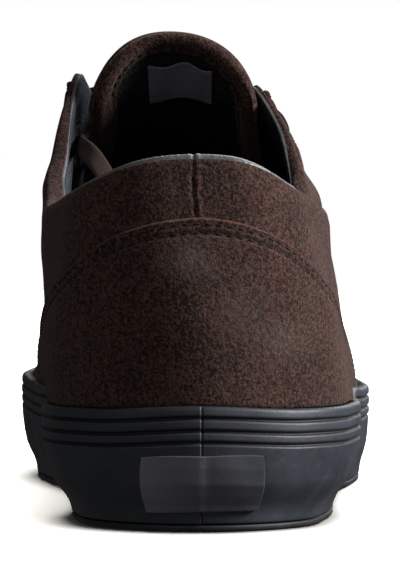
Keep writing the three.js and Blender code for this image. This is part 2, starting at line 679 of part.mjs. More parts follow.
addPiece('outsole', outsoleGeometry(), MATERIALS.rubber);
addPiece('foxing', ringGeometry(foxingSection), MATERIALS.rubber);
addPiece('heel_patch', patchGeometry(), MATERIALS.patch);
addPiece('upper', ringGeometry(upperSection), MATERIALS.suede);
addPiece('heel_counter', counterGeometry(), MATERIALS.suede);
addPiece('eyestay', eyestayGeometry(), MATERIALS.suede);
addPiece('tongue', tongueGeometry(), MATERIALS.suede);
addPiece('tongue_label', tongueLabelGeometry(), MATERIALS.label);
addPiece('insole', insoleGeometry(), MATERIALS.lining);
EYELET_ROWS.forEach((y, i) => {
  addPiece(`eyelet_outer_${i + 1}`, eyeletGeometry(y, 1), MATERIALS.eyelet);
  addPiece(`eyelet_inner_${i + 1}`, eyeletGeometry(y, -1), MATERIALS.eyelet);
  addPiece(`lace_bar_${i + 1}`, laceBarGeometry(y), MATERIALS.lace);
});
addPiece('lace_end', laceEndGeometry(), MATERIALS.lace);

// Origin at the middle of the footprint, on the floor
const middle = new THREE.Box3().setFromObject(shoe).getCenter(new THREE.Vector3());
shoe.position.set(-middle.x, -middle.y, 0);

export default shoe;
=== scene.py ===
import bpy
import numpy as np
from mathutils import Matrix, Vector


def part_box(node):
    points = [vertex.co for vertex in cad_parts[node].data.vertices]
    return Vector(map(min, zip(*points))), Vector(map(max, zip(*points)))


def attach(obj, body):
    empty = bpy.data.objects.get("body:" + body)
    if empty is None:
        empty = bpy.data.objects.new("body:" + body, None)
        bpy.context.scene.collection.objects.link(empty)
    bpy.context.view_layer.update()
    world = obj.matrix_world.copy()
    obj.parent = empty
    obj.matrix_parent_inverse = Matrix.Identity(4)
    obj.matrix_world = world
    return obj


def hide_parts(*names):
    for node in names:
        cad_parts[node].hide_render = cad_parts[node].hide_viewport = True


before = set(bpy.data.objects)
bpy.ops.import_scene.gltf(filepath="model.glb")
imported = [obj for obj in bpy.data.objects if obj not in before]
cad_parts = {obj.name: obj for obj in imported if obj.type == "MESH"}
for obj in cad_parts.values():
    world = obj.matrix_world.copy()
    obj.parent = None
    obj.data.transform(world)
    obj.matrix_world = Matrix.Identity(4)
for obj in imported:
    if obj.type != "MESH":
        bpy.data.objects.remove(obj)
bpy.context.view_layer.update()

LENGTH = 296.0
BALL_WIDTH = 101.0
HEEL_HEIGHT = 86.0
TONGUE_TOP = 122.0
WALL = 2.4
ROUND_STEPS = 64
TOE_SPRING = 9.0
SPRING_START = 0.7 * LENGTH
ARCH_RISE = 1.2
ARCH_SPAN = (84.0, 122.0, 164.0)
BEVEL_RISE = 1.0
BEVEL_RUN = 10.0
PLATE = 1.5
PLATE_TOP = 1.8
CORE_TOP = 15.5
FOXING_TOP = 2.8
FOXING_FOOT = 3.2
RIB_DROPS = (2.8, 5.7, 8.3)
UPPER_INSET = 3.1
PAD_STARTS = 0.45
PAD_FULL = 0.8

# The closed outline of the shoe, one row for each rib of the last.
COLUMNS = (
    "name", "along", "across", "band", "taper", "edge_along", "edge_across", "edge_high",
    "lean", "lean_pull", "tuck", "tuck_pull", "pad",
)
STATIONS = (
    ("heel_back", 0, 0, 28, 6.6, 2, 0, 96.5, 7, 20, 12, 18, 4.2),
    ("heel_turn_outer", 2.2, 19.8, 28, 6.6, 2.7, 12.8, 94.7, 8, 18, 14, 18, 4.2),
    ("heel_side_outer", 6.5, 31.5, 28, 6.6, 5.8, 22.1, 89.1, 5, 17, 12, 17, 4.2),
    ("ankle_outer", 14, 37.1, 28, 6.2, 14.2, 29.3, 84, -6, 16, 4, 16, 4.2),
    ("collar_outer", 30, 39.1, 27.5, 4.6, 27, 27.7, 89.3, -3, 16, 9, 18, 3.2),
    ("flap_back_outer", 37, 40.3, 27.5, 4.4, 33.4, 21, 114, 6, 22, 25, 26, 0.2),
    ("flap_top_outer", 40, 41.1, 27.5, 4.2, 36, 15.6, 124.4, 3, 25, 28, 28, 0),
    ("flap_front_outer", 42.5, 41.6, 27.5, 4.2, 38.5, 14.8, 123, -1, 23, 40, 28, 0),
    ("throat_high_outer", 47, 42.6, 27.4, 3.8, 43.9, 14.3, 113.7, -4, 21, 58, 25, 0),
    ("throat_mid_outer", 56, 45.7, 27.2, 2.8, 52.4, 13.3, 99.8, -5, 18, 66, 22, 0),
    ("throat_low_outer", 65.9, 48.5, 27.2, 2.4, 59.5, 11.3, 89.3, -10, 14, 71, 27, 0),
    ("throat_turn_outer", 78, 45.1, 28.3, 2.8, 64.9, 6.9, 82.6, -3, 14, 72, 31, 0),
    ("toe_side_outer", 90.4, 32.4, 29.6, 3.4, 67.1, 1, 80.1, 4, 15, 72, 38, 0),
    ("toe_turn_outer", 97.3, 17.9, 30.6, 3.3, 67.6, -1.9, 79.8, 9, 17, 72, 43, 0),
    ("toe_tip", 100, -4.7, 30.6, 3.3, 67.7, -4, 79.7, 10, 17, 72, 45, 0),
    ("toe_turn_inner", 97.6, -27.1, 30.6, 3.3, 67.6, -5.9, 79.8, 9, 17, 72, 43, 0),
    ("toe_side_inner", 91.6, -40.6, 29.8, 3.4, 67.1, -8.9, 80.2, 4, 15, 72, 38, 0),
    ("throat_turn_inner", 80.1, -49.7, 30.3, 3.6, 64.9, -14.4, 82.9, -4, 14, 72, 31, 0),
    ("throat_low_inner", 68.6, -51.6, 30.3, 3.7, 59.5, -18.8, 89.9, -9, 14, 70, 27, 0),
    ("throat_mid_inner", 57.4, -46.7, 28.6, 3.8, 52.4, -23.6, 101.4, 1, 19, 62, 20, 0),
    ("throat_high_inner", 47.5, -40.2, 27.6, 4, 43.9, -27.9, 116.3, 6, 26, 40, 22, 0),
    ("flap_front_inner", 42.6, -37.2, 27.6, 4.2, 38.5, -31.2, 125.6, 10, 28, 17, 22, 0),
    ("flap_top_inner", 39.9, -36, 27.5, 4.2, 36, -32.6, 127.8, 12, 26, 9, 24, 0),
    ("flap_back_inner", 36.8, -35.4, 27.5, 4.4, 33.4, -34.9, 118.1, 14, 24, 8, 24, 0.8),
    ("collar_inner", 28.4, -34.9, 27.5, 4.8, 27, -38.2, 92.2, 15, 18, 4, 16, 3),
    ("ankle_inner", 14, -37.1, 28, 6.2, 14.2, -35.3, 84.7, 9, 16, 3, 16, 4.2),
    ("heel_side_inner", 6.5, -31.5, 28, 6.6, 5.8, -27.5, 89.5, 10, 17, 10, 17, 4.2),
    ("heel_turn_inner", 2.2, -19.8, 28, 6.6, 2.7, -15.5, 94.9, 8, 18, 13, 18, 4.2),
)
NAMES = [row[0] for row in STATIONS]
VALUES = {name: np.array([row[k] for row in STATIONS], float) for k, name in enumerate(COLUMNS) if k}

COUNTER_EDGE = (
    (0, 71), (6.5, 70.6), (12, 69.9), (17, 68.8), (22, 67.3), (27, 65.3), (32, 62.6), (37, 59.5),
    (42, 56.8), (50, 53.4), (64, 47.5), (80, 41), (98, 33.8), (112, 29.6),
)
COUNTER_STITCHES = (1.5, 3.5)
OVERLAY_LIFT = 1.55
OVERLAY_ROUND = 0.55
EYESTAY_NEAR_EDGE = 1.2
EYESTAY_WIDTH = 17.0
EYESTAY_FRONT = 12.0
EYESTAY_BACK = 7.0
EYELET_ROWS = (122, 134, 146, 158, 170, 182)
EYELET_FROM_EDGE = 9.0
LACE_WIDTH = 7.0
LACE_THICK = 1.2
LACE_SIDES = 14
LACE_FOLD = 0.71

TONGUE_ROWS = (
    # across, along, below the top, half width, bend, thickness
    (-6.9, 98, 1.2, 21.2, 26, 3.4),
    (-6.9, 103, 6.3, 21.2, 26, 4.8),
    (-6.9, 110, 13, 21.4, 26.5, 5.8),
    (-6.8, 120, 20.3, 21.9, 28, 5.6),
    (-6.6, 140, 30.8, 24.5, 33, 5),
    (-6, 160, 41.4, 26, 38, 4.6),
    (-5.2, 178, 51.4, 24, 44, 4.2),
    (-4.5, 194, 58.8, 20, 50, 3.6),
    (-4, 208, 63, 16, 60, 3.2),
)
TONGUE_CORNER = (17.0, 2.6)
LABEL = {"left": -0.54, "right": 0.34, "top": 8.3, "bottom": 19.0}

LACE_END = (
    (-30.9, 118, 93.6), (-31.3, 112, 93), (-31, 105, 92.2), (-30, 98.3, 91.2),
    (-28.3, 92, 89.7), (-26.2, 87, 87.2), (-23.8, 82.3, 83.4), (-20.9, 77, 76.6),
    (-18.1, 71.2, 66.5), (-16.2, 67.4, 55), (-15, 66, 43.5), (-14.3, 67.6, 33.2),
    (-13.8, 72.8, 25.4), (-13.5, 80, 21.9), (-13.3, 88, 21.1),
)
PATCH = {"left": -13.5, "right": 14.6, "bottom": 4.5, "top": 17.1}
PATCH_SPREAD = 0.14
PATCH_ROUND = 0.025


# Curves round the shoe
def smooth(start, end, value):
    x = np.clip((value - start) / (end - start), 0, 1)
    return x * x * (3 - 2 * x)


def unit(v):
    return v / np.maximum(np.linalg.norm(v, axis=-1, keepdims=True), 1e-12)


def bump(distance, width):
    return np.exp(-((distance / width) ** 2))


PLAN = np.stack([VALUES["across"] * BALL_WIDTH / 100, VALUES["along"] * LENGTH / 100], -1)
STEPS = np.linalg.norm(np.roll(PLAN, -1, axis=0) - PLAN, axis=1)
WALKED = np.concatenate([[0], np.cumsum(STEPS)])
TOE_ROW = NAMES.index("toe_tip")
TO_TOE = WALKED[TOE_ROW]
TO_HEEL = WALKED[-1] - TO_TOE
PLACES = np.where(WALKED <= TO_TOE, 0.5 * WALKED / TO_TOE, 0.5 + 0.5 * (WALKED - TO_TOE) / TO_HEEL)
ROUND = 2 * TO_TOE


def place_of(name):
    return PLACES[NAMES.index(name)]


def slopes_of(values):
    count = len(values)
    index = np.arange(-1, count + 1)
    place = PLACES[index % count] + index // count
    value = values[index % count]
    gap = np.diff(place)
    rate = np.diff(value) / gap
    return (rate[:-1] * gap[1:] + rate[1:] * gap[:-1]) / (gap[:-1] + gap[1:])


SLOPES = {name: slopes_of(values) for name, values in VALUES.items()}


def around(name, t):
    values, slopes = VALUES[name], SLOPES[name]
    turn = np.mod(t, 1.0)
    i = np.clip(np.searchsorted(PLACES, turn, side="right") - 1, 0, len(values) - 1)
    j = (i + 1) % len(values)
    span = PLACES[i + 1] - PLACES[i]
    x = (turn - PLACES[i]) / span
    blend = x * x * (3 - 2 * x)
    bow = x * (1 - x) * span * ((1 - x) * slopes[i] - x * slopes[j])
    return values[i] * (1 - blend) + values[j] * blend + bow


def outline(t):
    return np.stack([around("across", t) * BALL_WIDTH / 100, around("along", t) * LENGTH / 100], -1)


def edge_point(t):
    x = around("edge_across", t) * BALL_WIDTH / 100
    y = around("edge_along", t) * LENGTH / 100
    return np.stack([x, y, around("edge_high", t) * HEEL_HEIGHT / 100], -1)


def inwards(loop, t):
    step = 1e-4
    ahead = (loop(t + step) - loop(t - step))[..., :2]
    turned = np.stack([-ahead[..., 1], ahead[..., 0], np.zeros(ahead.shape[:-1])], -1)
    return unit(turned)


def ground(y):
    spring = np.maximum(0, (y - SPRING_START) / (LENGTH - SPRING_START))
    bevel = np.maximum(0, 1 - y / BEVEL_RUN)
    low, top, high = ARCH_SPAN
    arch = smooth(low, top, y) - smooth(top, high, y)
    return TOE_SPRING * spring**2 + BEVEL_RISE * bevel**2 + ARCH_RISE * arch


def sole_point(t, inset, high):
    t, inset, high = np.broadcast_arrays(t, inset, high)
    plan = outline(t) + inwards(outline, t)[..., :2] * inset[..., None]
    return np.concatenate([plan, (ground(plan[..., 1]) + high)[..., None]], -1)


def rib_controls(t):
    foot = sole_point(t, UPPER_INSET, around("band", t))
    edge = edge_point(t)
    lean = np.radians(around("lean", t))[..., None]
    tuck = np.radians(around("tuck", t))[..., None]
    up = np.array([0.0, 0.0, 1.0])
    leave = up * np.cos(lean) - inwards(outline, t) * np.sin(lean)
    arrive = up * np.cos(tuck) + inwards(edge_point, t) * np.sin(tuck)
    low = foot + leave * around("lean_pull", t)[..., None]
    high = edge - arrive * around("tuck_pull", t)[..., None]
    return foot, low, high, edge


def rib_point(t, v):
    t, v = np.broadcast_arrays(t, v)
    a, b, c, d = rib_controls(t)
    v = v[..., None]
    w = 1 - v
    return a * w**3 + 3 * b * w**2 * v + 3 * c * w * v**2 + d * v**3


def rib_tangent(t, v):
    t, v = np.broadcast_arrays(t, v)
    a, b, c, d = rib_controls(t)
    v = v[..., None]
    w = 1 - v
    return unit((b - a) * w**2 + 2 * (c - b) * w * v + (d - c) * v**2)


def skin_normal(t, v):
    step = 1e-3
    forward = rib_point(t + step, v) - rib_point(t - step, v)
    return unit(np.cross(forward, rib_tangent(t, v)))


def skin(t, v, lift=0.0):
    t, v, lift = np.broadcast_arrays(t, v, lift)
    return rib_point(t, v) + skin_normal(t, v) * lift[..., None]


def search(low, high, is_below, rounds=26):
    low, high = np.array(low, float), np.array(high, float)
    for _ in range(rounds):
        middle = (low + high) / 2
        below = is_below(middle)
        low, high = np.where(below, middle, low), np.where(below, high, middle)
    return (low + high) / 2


def rib_at_height(t, high):
    t = np.asarray(t, float)
    return search(np.zeros_like(t), np.ones_like(t), lambda v: rib_point(t, v)[..., 2] < high)


def rib_from_edge(t, distance):
    t = np.asarray(t, float)
    edge = edge_point(t)

    def far(v):
        return np.linalg.norm(rib_point(t, v) - edge, axis=-1) > distance

    return search(np.zeros_like(t), np.ones_like(t), far)


def throat_place(y, side):
    top = place_of("flap_top_outer" if side > 0 else "flap_top_inner")
    return search(top, 0.5, lambda t: edge_point(t)[..., 1] < y)


def catmull(points, u):
    """Centripetal curve through points, at u from 0 to 1."""
    points = np.asarray(points, float)
    last = len(points) - 1
    u = np.asarray(u, float)
    i = np.clip(np.floor(u * last).astype(int), 0, last - 1)
    w = (u * last - i)[..., None]
    padded = np.concatenate([[2 * points[0] - points[1]], points, [2 * points[-1] - points[-2]]])
    a, b, c, d = (padded[i + k] for k in range(4))
    g0, g1, g2 = (np.sqrt(np.linalg.norm(q - p, axis=-1, keepdims=True)) for p, q in ((a, b), (b, c), (c, d)))
    t1 = ((b - a) / g0 - (c - a) / (g0 + g1) + (c - b) / g1) * g1
    t2 = ((c - b) / g1 - (d - b) / (g1 + g2) + (d - c) / g2) * g1
    return b + t1 * w + (3 * (c - b) - 2 * t1 - t2) * w**2 + (2 * (b - c) + t1 + t2) * w**3


def walk(points):
    """Distance walked along a line of points."""
    return np.concatenate([[0], np.cumsum(np.linalg.norm(np.diff(points, axis=0), axis=1))])


def resample(points, count):
    far = walk(points)
    even = np.linspace(0, far[-1], count)
    return np.stack([np.interp(even, far, points[:, k]) for k in range(points.shape[1])], -1)


# The frame's place: the widest reach of the side wall against the same outline here
wall_low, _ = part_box("foxing")
wall_loop = outline(np.arange(ROUND_STEPS) / ROUND_STEPS)
SHIFT = np.array([wall_low.x * 1000 - wall_loop[:, 0].min(), wall_low.y * 1000 - wall_loop[:, 1].min(), 0.0])


def to_frame(points):
    return (np.asarray(points, float) + SHIFT) / 1000


# Camera, where the photograph was taken from
CAMERA_BACK = 650.0
CAMERA_HIGH = 56.0
CAMERA_LENS = 183.7
camera = bpy.data.objects.new("camera", bpy.data.cameras.new("camera"))
camera.data.lens = CAMERA_LENS
camera.data.clip_start = 0.05
camera.location = to_frame((0.0, -CAMERA_BACK, CAMERA_HIGH))
camera.rotation_euler = (np.pi / 2, 0, 0)
bpy.context.scene.collection.objects.link(camera)
bpy.context.scene.camera = camera


# Meshes
def turns(count):
    """Even angles once round a circle."""
    return np.arange(count) / count * 2 * np.pi


def end_caps(sides, rows):
    """The first and the last row of a tube's points, each as one face."""
    ring = np.arange(sides)[None]
    return [ring[:, ::-1], ring + (rows - 1) * sides]


def grid_faces(rows, columns, close_rows=False, close_columns=False, start=0):
    r = np.arange(rows if close_rows else rows - 1)
    c = np.arange(columns if close_columns else columns - 1)
    r, c = np.meshgrid(r, c, indexing="ij")
    up, right = (r + 1) % rows, (c + 1) % columns
    faces = np.stack([r * columns + c, r * columns + right, up * columns + right, up * columns + c], -1)
    return faces.reshape(-1, 4) + start


def volume_of(points, blocks):
    """Six times the volume inside blocks of faces, below nought where they are inside out."""
    total = 0.0
    for faces in blocks:
        for k in range(1, faces.shape[1] - 1):
            a, b, c = points[faces[:, 0]], points[faces[:, k]], points[faces[:, k + 1]]
            total += np.einsum("ij,ij->i", a, np.cross(b, c)).sum()
    return total


def make_piece(name, points, faces, materials, kinds=None, uv=None, node=None, flip=None):
    """A smooth mesh that rides on the shoe. faces is an array of them, or a list of arrays."""
    points = np.reshape(points, (-1, 3))
    blocks = faces if isinstance(faces, list) else [faces]
    if flip is None:
        flip = volume_of(points - points.mean(0), blocks) < 0
    if flip:
        blocks = [block[:, ::-1] for block in blocks]
    flat = [face for block in blocks for face in block.tolist()]
    mesh = bpy.data.meshes.new(name)
    mesh.from_pydata(to_frame(points).tolist(), [], flat)
    for material in materials:
        mesh.materials.append(material)
    if kinds is not None:
        mesh.polygons.foreach_set("material_index", np.ravel(kinds).astype(np.int32))
    mesh.polygons.foreach_set("use_smooth", np.ones(len(flat), bool))
    if uv is not None:
        layer = mesh.uv_layers.new(name="flat")
        layer.data.foreach_set("uv", (np.reshape(uv, (-1, 2))[np.concatenate(flat)] / 1000).ravel())
    mesh.validate()
    mesh.update()
    piece = bpy.data.objects.new(name, mesh)
    bpy.context.scene.collection.objects.link(piece)
    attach(piece, "root")
    if node:
        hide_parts(node)
    return piece


def make_forms(name, forms, material):
    """Many small closed tubes made as one piece. forms is tubes by rings by sides by three."""
    count, rings, sides = forms.shape[:3]
    blocks = [grid_faces(rings, sides, close_columns=True)] + end_caps(sides, rings)
    first = forms[0].reshape(-1, 3)
    flip = volume_of(first - first.mean(0), blocks) < 0
    starts = np.arange(count)[:, None, None] * rings * sides
    faces = [(block + starts).reshape(-1, block.shape[1]) for block in blocks]
    make_piece(name, forms, faces, [material], flip=flip)


def grid_normals(points):
    """Normals of a grid of points, with rows going round and columns going up."""
    return unit(np.cross(np.gradient(points, axis=0), np.gradient(points, axis=1)))


def ribbon(line, flat, pinch):
    """A flat lace along a line, folded where pinch is below one: points, faces and flat coordinates."""
    tangent = unit(np.gradient(line, axis=0))
    side = unit(flat - tangent * np.einsum("ij,ij->i", flat, tangent)[:, None])
    face = np.cross(tangent, side)
    angle = turns(LACE_SIDES)
    across = np.sign(np.cos(angle)) * np.abs(np.cos(angle)) ** 0.55 / 2
    above = np.sign(np.sin(angle)) * np.abs(np.sin(angle)) ** 0.75 / 2
    wide = LACE_WIDTH * pinch
    deep = LACE_THICK * (1 + 0.9 * (1 - pinch))
    points = (
        line[:, None]
        + side[:, None] * (across[None, :] * wide[:, None])[..., None]
        + face[:, None] * (above[None, :] * deep[:, None])[..., None]
    )
    uv = np.stack(np.broadcast_arrays(walk(line)[:, None], across[None, :] * LACE_WIDTH), -1)
    caps = end_caps(LACE_SIDES, len(line))
    return points, [grid_faces(len(line), LACE_SIDES, close_columns=True)] + caps, uv


class Stitches:
    """Rows of short threads, gathered and made as one joined mesh."""

    rings = np.array([-1.0, -0.8, -0.35, 0.35, 0.8, 1.0])
    fat = np.array([0.3, 0.75, 1.0, 1.0, 0.75, 0.3])
    sides = 6

    def __init__(self):
        self.threads = []

    def row(self, line, normals, pitch=2.5, length=1.9, width=0.6, high=0.22):
        far = walk(line)
        count = max(1, int(far[-1] / pitch))
        middles = (np.arange(count) + 0.5) * far[-1] / count
        place = middles[:, None] + self.rings[None] * length / 2

        def at_places(values):
            return np.stack([np.interp(place, far, values[:, k]) for k in range(3)], -1)

        spine = at_places(line)
        up = unit(at_places(normals))
        side = np.cross(up, unit(np.gradient(spine, axis=1)))
        rise = high * (1 - self.rings**2 * 1.3)
        radius = self.fat[:, None] * width / 2
        angle = turns(self.sides)
        ring = (
            spine[:, :, None]
            + up[:, :, None] * (rise[:, None] + radius * np.sin(angle) * 0.8)[None, ..., None]
            + side[:, :, None] * (radius * np.cos(angle))[None, ..., None]
        )
        self.threads.append(ring)


# Materials
class Nodes:
    """Short names for building a material's nodes. Sizes are in the shoe's millimetres."""

    def __init__(self, name):
        self.material = bpy.data.materials.new(name)
        self.material.use_nodes = True
        self.tree = self.material.node_tree
        self.shader = self.tree.nodes["Principled BSDF"]
        coords = self.tree.nodes.new("ShaderNodeTexCoord")
        self.body, self.flat = coords.outputs["Object"], coords.outputs["UV"]

    def fill(self, target, source):
        if hasattr(source, "links"):
            self.tree.links.new(source, target)
        elif target.type == "RGBA":
            target.default_value = (*source, 1.0)
        else:
            target.default_value = source

    def add(self, kind, inputs, output=0, **settings):
        """A node with its settings, its inputs by name or number, and the output that counts."""
        node = self.tree.nodes.new("ShaderNode" + kind)
        for name, value in settings.items():
            setattr(node, name, value)
        for socket, source in inputs.items():
            self.fill(node.inputs[socket], source)
        return node.outputs[output]

    def noise(self, size, detail=3.0, rough=0.6, where=None, distort=0.0):
        """Noise whose blotches are about size across."""
        inputs = {"Scale": 1000.0 / size, "Detail": detail, "Roughness": rough, "Distortion": distort}
        return self.add("TexNoise", {**inputs, "Vector": where or self.body}, "Fac")

    def blob(self, centre, reach):
        """One at a point of the shoe, falling to nought at its reach."""
        scale = [1000.0 / r for r in reach]
        middle = [-(c + o) / r for c, o, r in zip(centre, SHIFT, reach)]
        place = self.add("Mapping", {"Scale": scale, "Location": middle, "Vector": self.body})
        return self.add("TexGradient", {"Vector": place}, "Fac", gradient_type="QUADRATIC_SPHERE")

    def cells(self, size, where=None):
        return self.add("TexVoronoi", {"Scale": 1000.0 / size, "Vector": where or self.body}, "Distance")

    def math(self, kind, a, b=0.0, clamp=False):
        return self.add("Math", {0: a, 1: b}, operation=kind, use_clamp=clamp)

    def times(self, a, b):
        return self.math("MULTIPLY", a, b)

    def plus(self, a, b, clamp=False):
        return self.math("ADD", a, b, clamp)

    def spread(self, value, low, high, out_low=0.0, out_high=1.0):
        return self.add("MapRange", dict(enumerate((value, low, high, out_low, out_high))))

    def mix(self, share, a, b, kind="MIX"):
        node = self.tree.nodes.new("ShaderNodeMix")
        node.data_type = "RGBA"
        node.blend_type = kind
        node.clamp_factor = True
        self.fill(node.inputs[0], share)
        for socket, colour in zip([s for s in node.inputs if s.type == "RGBA"], (a, b)):
            self.fill(socket, colour)
        return next(s for s in node.outputs if s.type == "RGBA")

    def relief(self, height, distance, strength=1.0, under=None):
        inputs = {"Distance": distance / 1000, "Strength": strength, "Height": height}
        if under is not None:
            inputs["Normal"] = under
        return self.add("Bump", inputs)

    def finish(self, colour, rough, normal=None, **fixed):
        inputs = {"Base Color": colour, "Roughness": rough, **fixed}
        if normal is not None:
            inputs["Normal"] = normal
        for name, value in inputs.items():
            self.fill(self.shader.inputs[name.replace("_", " ")], value)
        return self.material


# Lighter patches on the counter, painted light on the shaded left border of the tongue, and painted shade on
# the inner flap's suede: centre, reach, share and colour
PALE_AND_PAINTED_LIGHT, PAINTED_SHADE = (0.19, 0.15, 0.14), (0.009, 0.006, 0.0055)
NAP_AND_LIGHT_MARKS = (
    # painted light: lifts the tongue's left border where it lies in shade
    ((-27.5, 140, 100), (6, 45, 18), 0.45, PALE_AND_PAINTED_LIGHT),
    ((-1.5, 1, 61.5), (12, 30, 8.5), 0.55, PALE_AND_PAINTED_LIGHT),
    ((8, 0, 51), (15, 30, 12), 0.22, PALE_AND_PAINTED_LIGHT),
    ((19, 3, 43), (14, 30, 10), 0.22, PALE_AND_PAINTED_LIGHT),
    # painted shade: darkens the suede of the inner flap
    ((-35, 105, 92), (13, 100, 44), 1.0, PAINTED_SHADE),
)
NAP_MIDDLE = 0.42
NAP_WARMTH = (1.15, 0.9, 0.87)
DUST = (0.16, 0.155, 0.15)


def suede_material(name, dark, light, nap=1.0):
    m = Nodes(name)
    speck = m.noise(0.95, 2)
    fine = m.noise(0.5, 2)
    cloud = m.noise(30, 2, 0.5, distort=0.3)
    share = NAP_MIDDLE
    for value, weight in ((cloud, 0.6), (m.noise(7), 0.5), (speck, 2.4 * nap), (fine, 3.0 * nap)):
        share = m.plus(m.times(m.plus(value, -0.5), weight), share)
    colour = m.mix(m.plus(share, 0.0, clamp=True), dark, light)
    # Mix in the lighter counter patches, the painted light and the painted shade listed above
    for centre, reach, most, shade in NAP_AND_LIGHT_MARKS:
        mark_share = m.times(m.blob(centre, reach), m.spread(m.noise(2.2), 0.35, 0.6, 0.25, most))
        colour = m.mix(mark_share, colour, shade)
    warm = m.spread(m.noise(4.5, 2, 0.5), 0.35, 0.65, 0.0, 0.5)
    colour = m.mix(warm, colour, m.mix(1.0, colour, NAP_WARMTH, kind="MULTIPLY"))
    height = m.plus(m.times(fine, 0.5), m.times(speck, 0.9))
    normal = m.relief(height, 0.55, 0.6, under=m.relief(m.noise(7, 2), 1.0, 0.2))
    return m.finish(
        colour, m.spread(speck, 0.3, 0.7, 0.86, 1.0), normal,
        Sheen_Weight=0.1, Sheen_Roughness=0.5, Sheen_Tint=(0.85, 0.7, 0.65), Specular_IOR_Level=0.12,
    )


def rubber_material(name, dark, light, rough, dust, painted_light=None):
    m = Nodes(name)
    cloud = m.noise(18, 4)
    upright = m.add("Mapping", {"Scale": (1, 1, 3.5), "Vector": m.body})
    marks = m.noise(6, 5, 0.7, where=upright, distort=0.8)
    colour = m.mix(m.spread(cloud, 0.35, 0.7), dark, light)
    colour = m.mix(m.spread(marks, 0.56, 0.74, 0.0, dust), colour, DUST)
    # A pale blob mixed in here is painted light on the lit side of a piece
    if painted_light:
        centre, reach, painted_light_colour = painted_light
        colour = m.mix(m.blob(centre, reach), colour, painted_light_colour)
    gloss = m.spread(m.noise(9, 4, 0.65), 0.3, 0.7, rough - 0.08, rough + 0.14)
    normal = m.relief(m.noise(0.7, 2), 0.12, 0.35, under=m.relief(cloud, 0.5, 0.2))
    return m.finish(colour, gloss, normal, Specular_IOR_Level=0.5, Coat_Weight=0.06, Coat_Roughness=0.4)


def leather_material(name, dark, light, rough=0.42):
    m = Nodes(name)
    colour = m.mix(m.spread(m.noise(4, 4, 0.65), 0.3, 0.7), dark, light)
    normal = m.relief(m.cells(0.9), 0.22, 0.5, under=m.relief(m.noise(3), 0.5, 0.35))
    gloss = m.spread(m.noise(2.5), 0.3, 0.7, rough - 0.08, rough + 0.12)
    return m.finish(colour, gloss, normal, Coat_Weight=0.08, Coat_Roughness=0.35)


def knit_material(name, dark, light, pitch=1.3, sheen=0.0, painted_light=None):
    """Open mesh. The place given for painted light gets a pale colour, speckled by noise: centre, reach and
    colour.
    """
    m = Nodes(name)
    hole = m.cells(pitch, m.flat)
    share = m.plus(m.spread(hole, 0.1, 0.6, 1.0, 0.15), m.times(m.noise(0.5, 2), 0.3), clamp=True)
    colour = m.mix(m.times(share, m.spread(m.noise(9), 0.3, 0.7, 0.45, 1.0)), dark, light)
    # A pale speckled blob mixed in here is painted light where the lining lies in shade
    if painted_light:
        centre, reach, bright = painted_light
        threads = m.spread(m.noise(0.8, 2), 0.4, 0.6)
        colour = m.mix(m.times(m.blob(centre, reach), threads), colour, bright)
    normal = m.relief(m.spread(hole, 0.1, 0.6, 1.0, 0.0), 0.35, 0.7, under=m.relief(m.noise(6, 2), 0.8, 0.3))
    return m.finish(
        colour, 0.72, normal,
        Sheen_Weight=sheen, Sheen_Roughness=0.35, Sheen_Tint=(0.6, 0.7, 1.0), Specular_IOR_Level=0.35,
    )


def woven_material(name, dark, light, pitch, relief, sheen=0.3):
    """Woven threads: slanted ribs in the piece's own flat coordinates, u along and v across."""
    m = Nodes(name)
    along, across = (m.times(m.add("SeparateXYZ", {0: m.flat}, axis), 1000 / pitch) for axis in (0, 1))
    chevron = m.math("ABSOLUTE", m.plus(m.math("FRACT", m.times(across, 0.25)), -0.5))
    wave = m.math("SINE", m.times(m.plus(along, m.times(chevron, 4.0)), 6.2832))
    cross = m.math("SINE", m.times(across, 6.2832))
    weave = m.plus(m.times(wave, 0.5), m.times(cross, 0.35))
    fuzz = m.noise(0.5, 3, 0.7)
    share = m.plus(m.spread(weave, -0.8, 0.8, 0.1, 0.75), m.times(m.plus(fuzz, -0.5), 0.8), clamp=True)
    normal = m.relief(weave, relief, 0.8, under=m.relief(fuzz, 0.2, 0.4))
    return m.finish(
        m.mix(share, dark, light), m.spread(fuzz, 0.3, 0.7, 0.8, 0.95), normal,
        Sheen_Weight=sheen, Sheen_Roughness=0.4, Specular_IOR_Level=0.3,
    )


def enamel_material(name, colour, worn):
    m = Nodes(name)
    wear = m.spread(m.noise(1.6, 5, 0.7), 0.58, 0.68)
    gloss = m.spread(m.noise(2), 0.3, 0.7, 0.3, 0.5)
    normal = m.relief(m.noise(1.2), 0.08, 0.4)
    return m.finish(m.mix(wear, colour, worn), gloss, normal, Metallic=0.55, Coat_Weight=0.2)


def thread_material(name, dark, light):
    m = Nodes(name)
    twist = m.noise(0.45, 2)
    colour = m.mix(m.spread(twist, 0.3, 0.7), dark, light)
    return m.finish(colour, 0.75, m.relief(twist, 0.12, 0.6), Specular_IOR_Level=0.3)


SUEDE = suede_material("suede", (0.016, 0.0093, 0.0077), (0.096, 0.055, 0.046))
SUEDE_EDGE = suede_material("suede_cut_edge", (0.05, 0.024, 0.02), (0.15, 0.08, 0.066), nap=0.7)
RUBBER = rubber_material("side_wall_rubber", (0.02, 0.0235, 0.032), (0.034, 0.039, 0.052), 0.5, 0.12)
# Near-black rubber for the faces in the side wall's grooves: painted shade in the grooves
GROOVE_SHADE_RUBBER = rubber_material("groove_shade_rubber", (0.003, 0.0035, 0.005), (0.006, 0.007, 0.009), 0.6, 0.0)
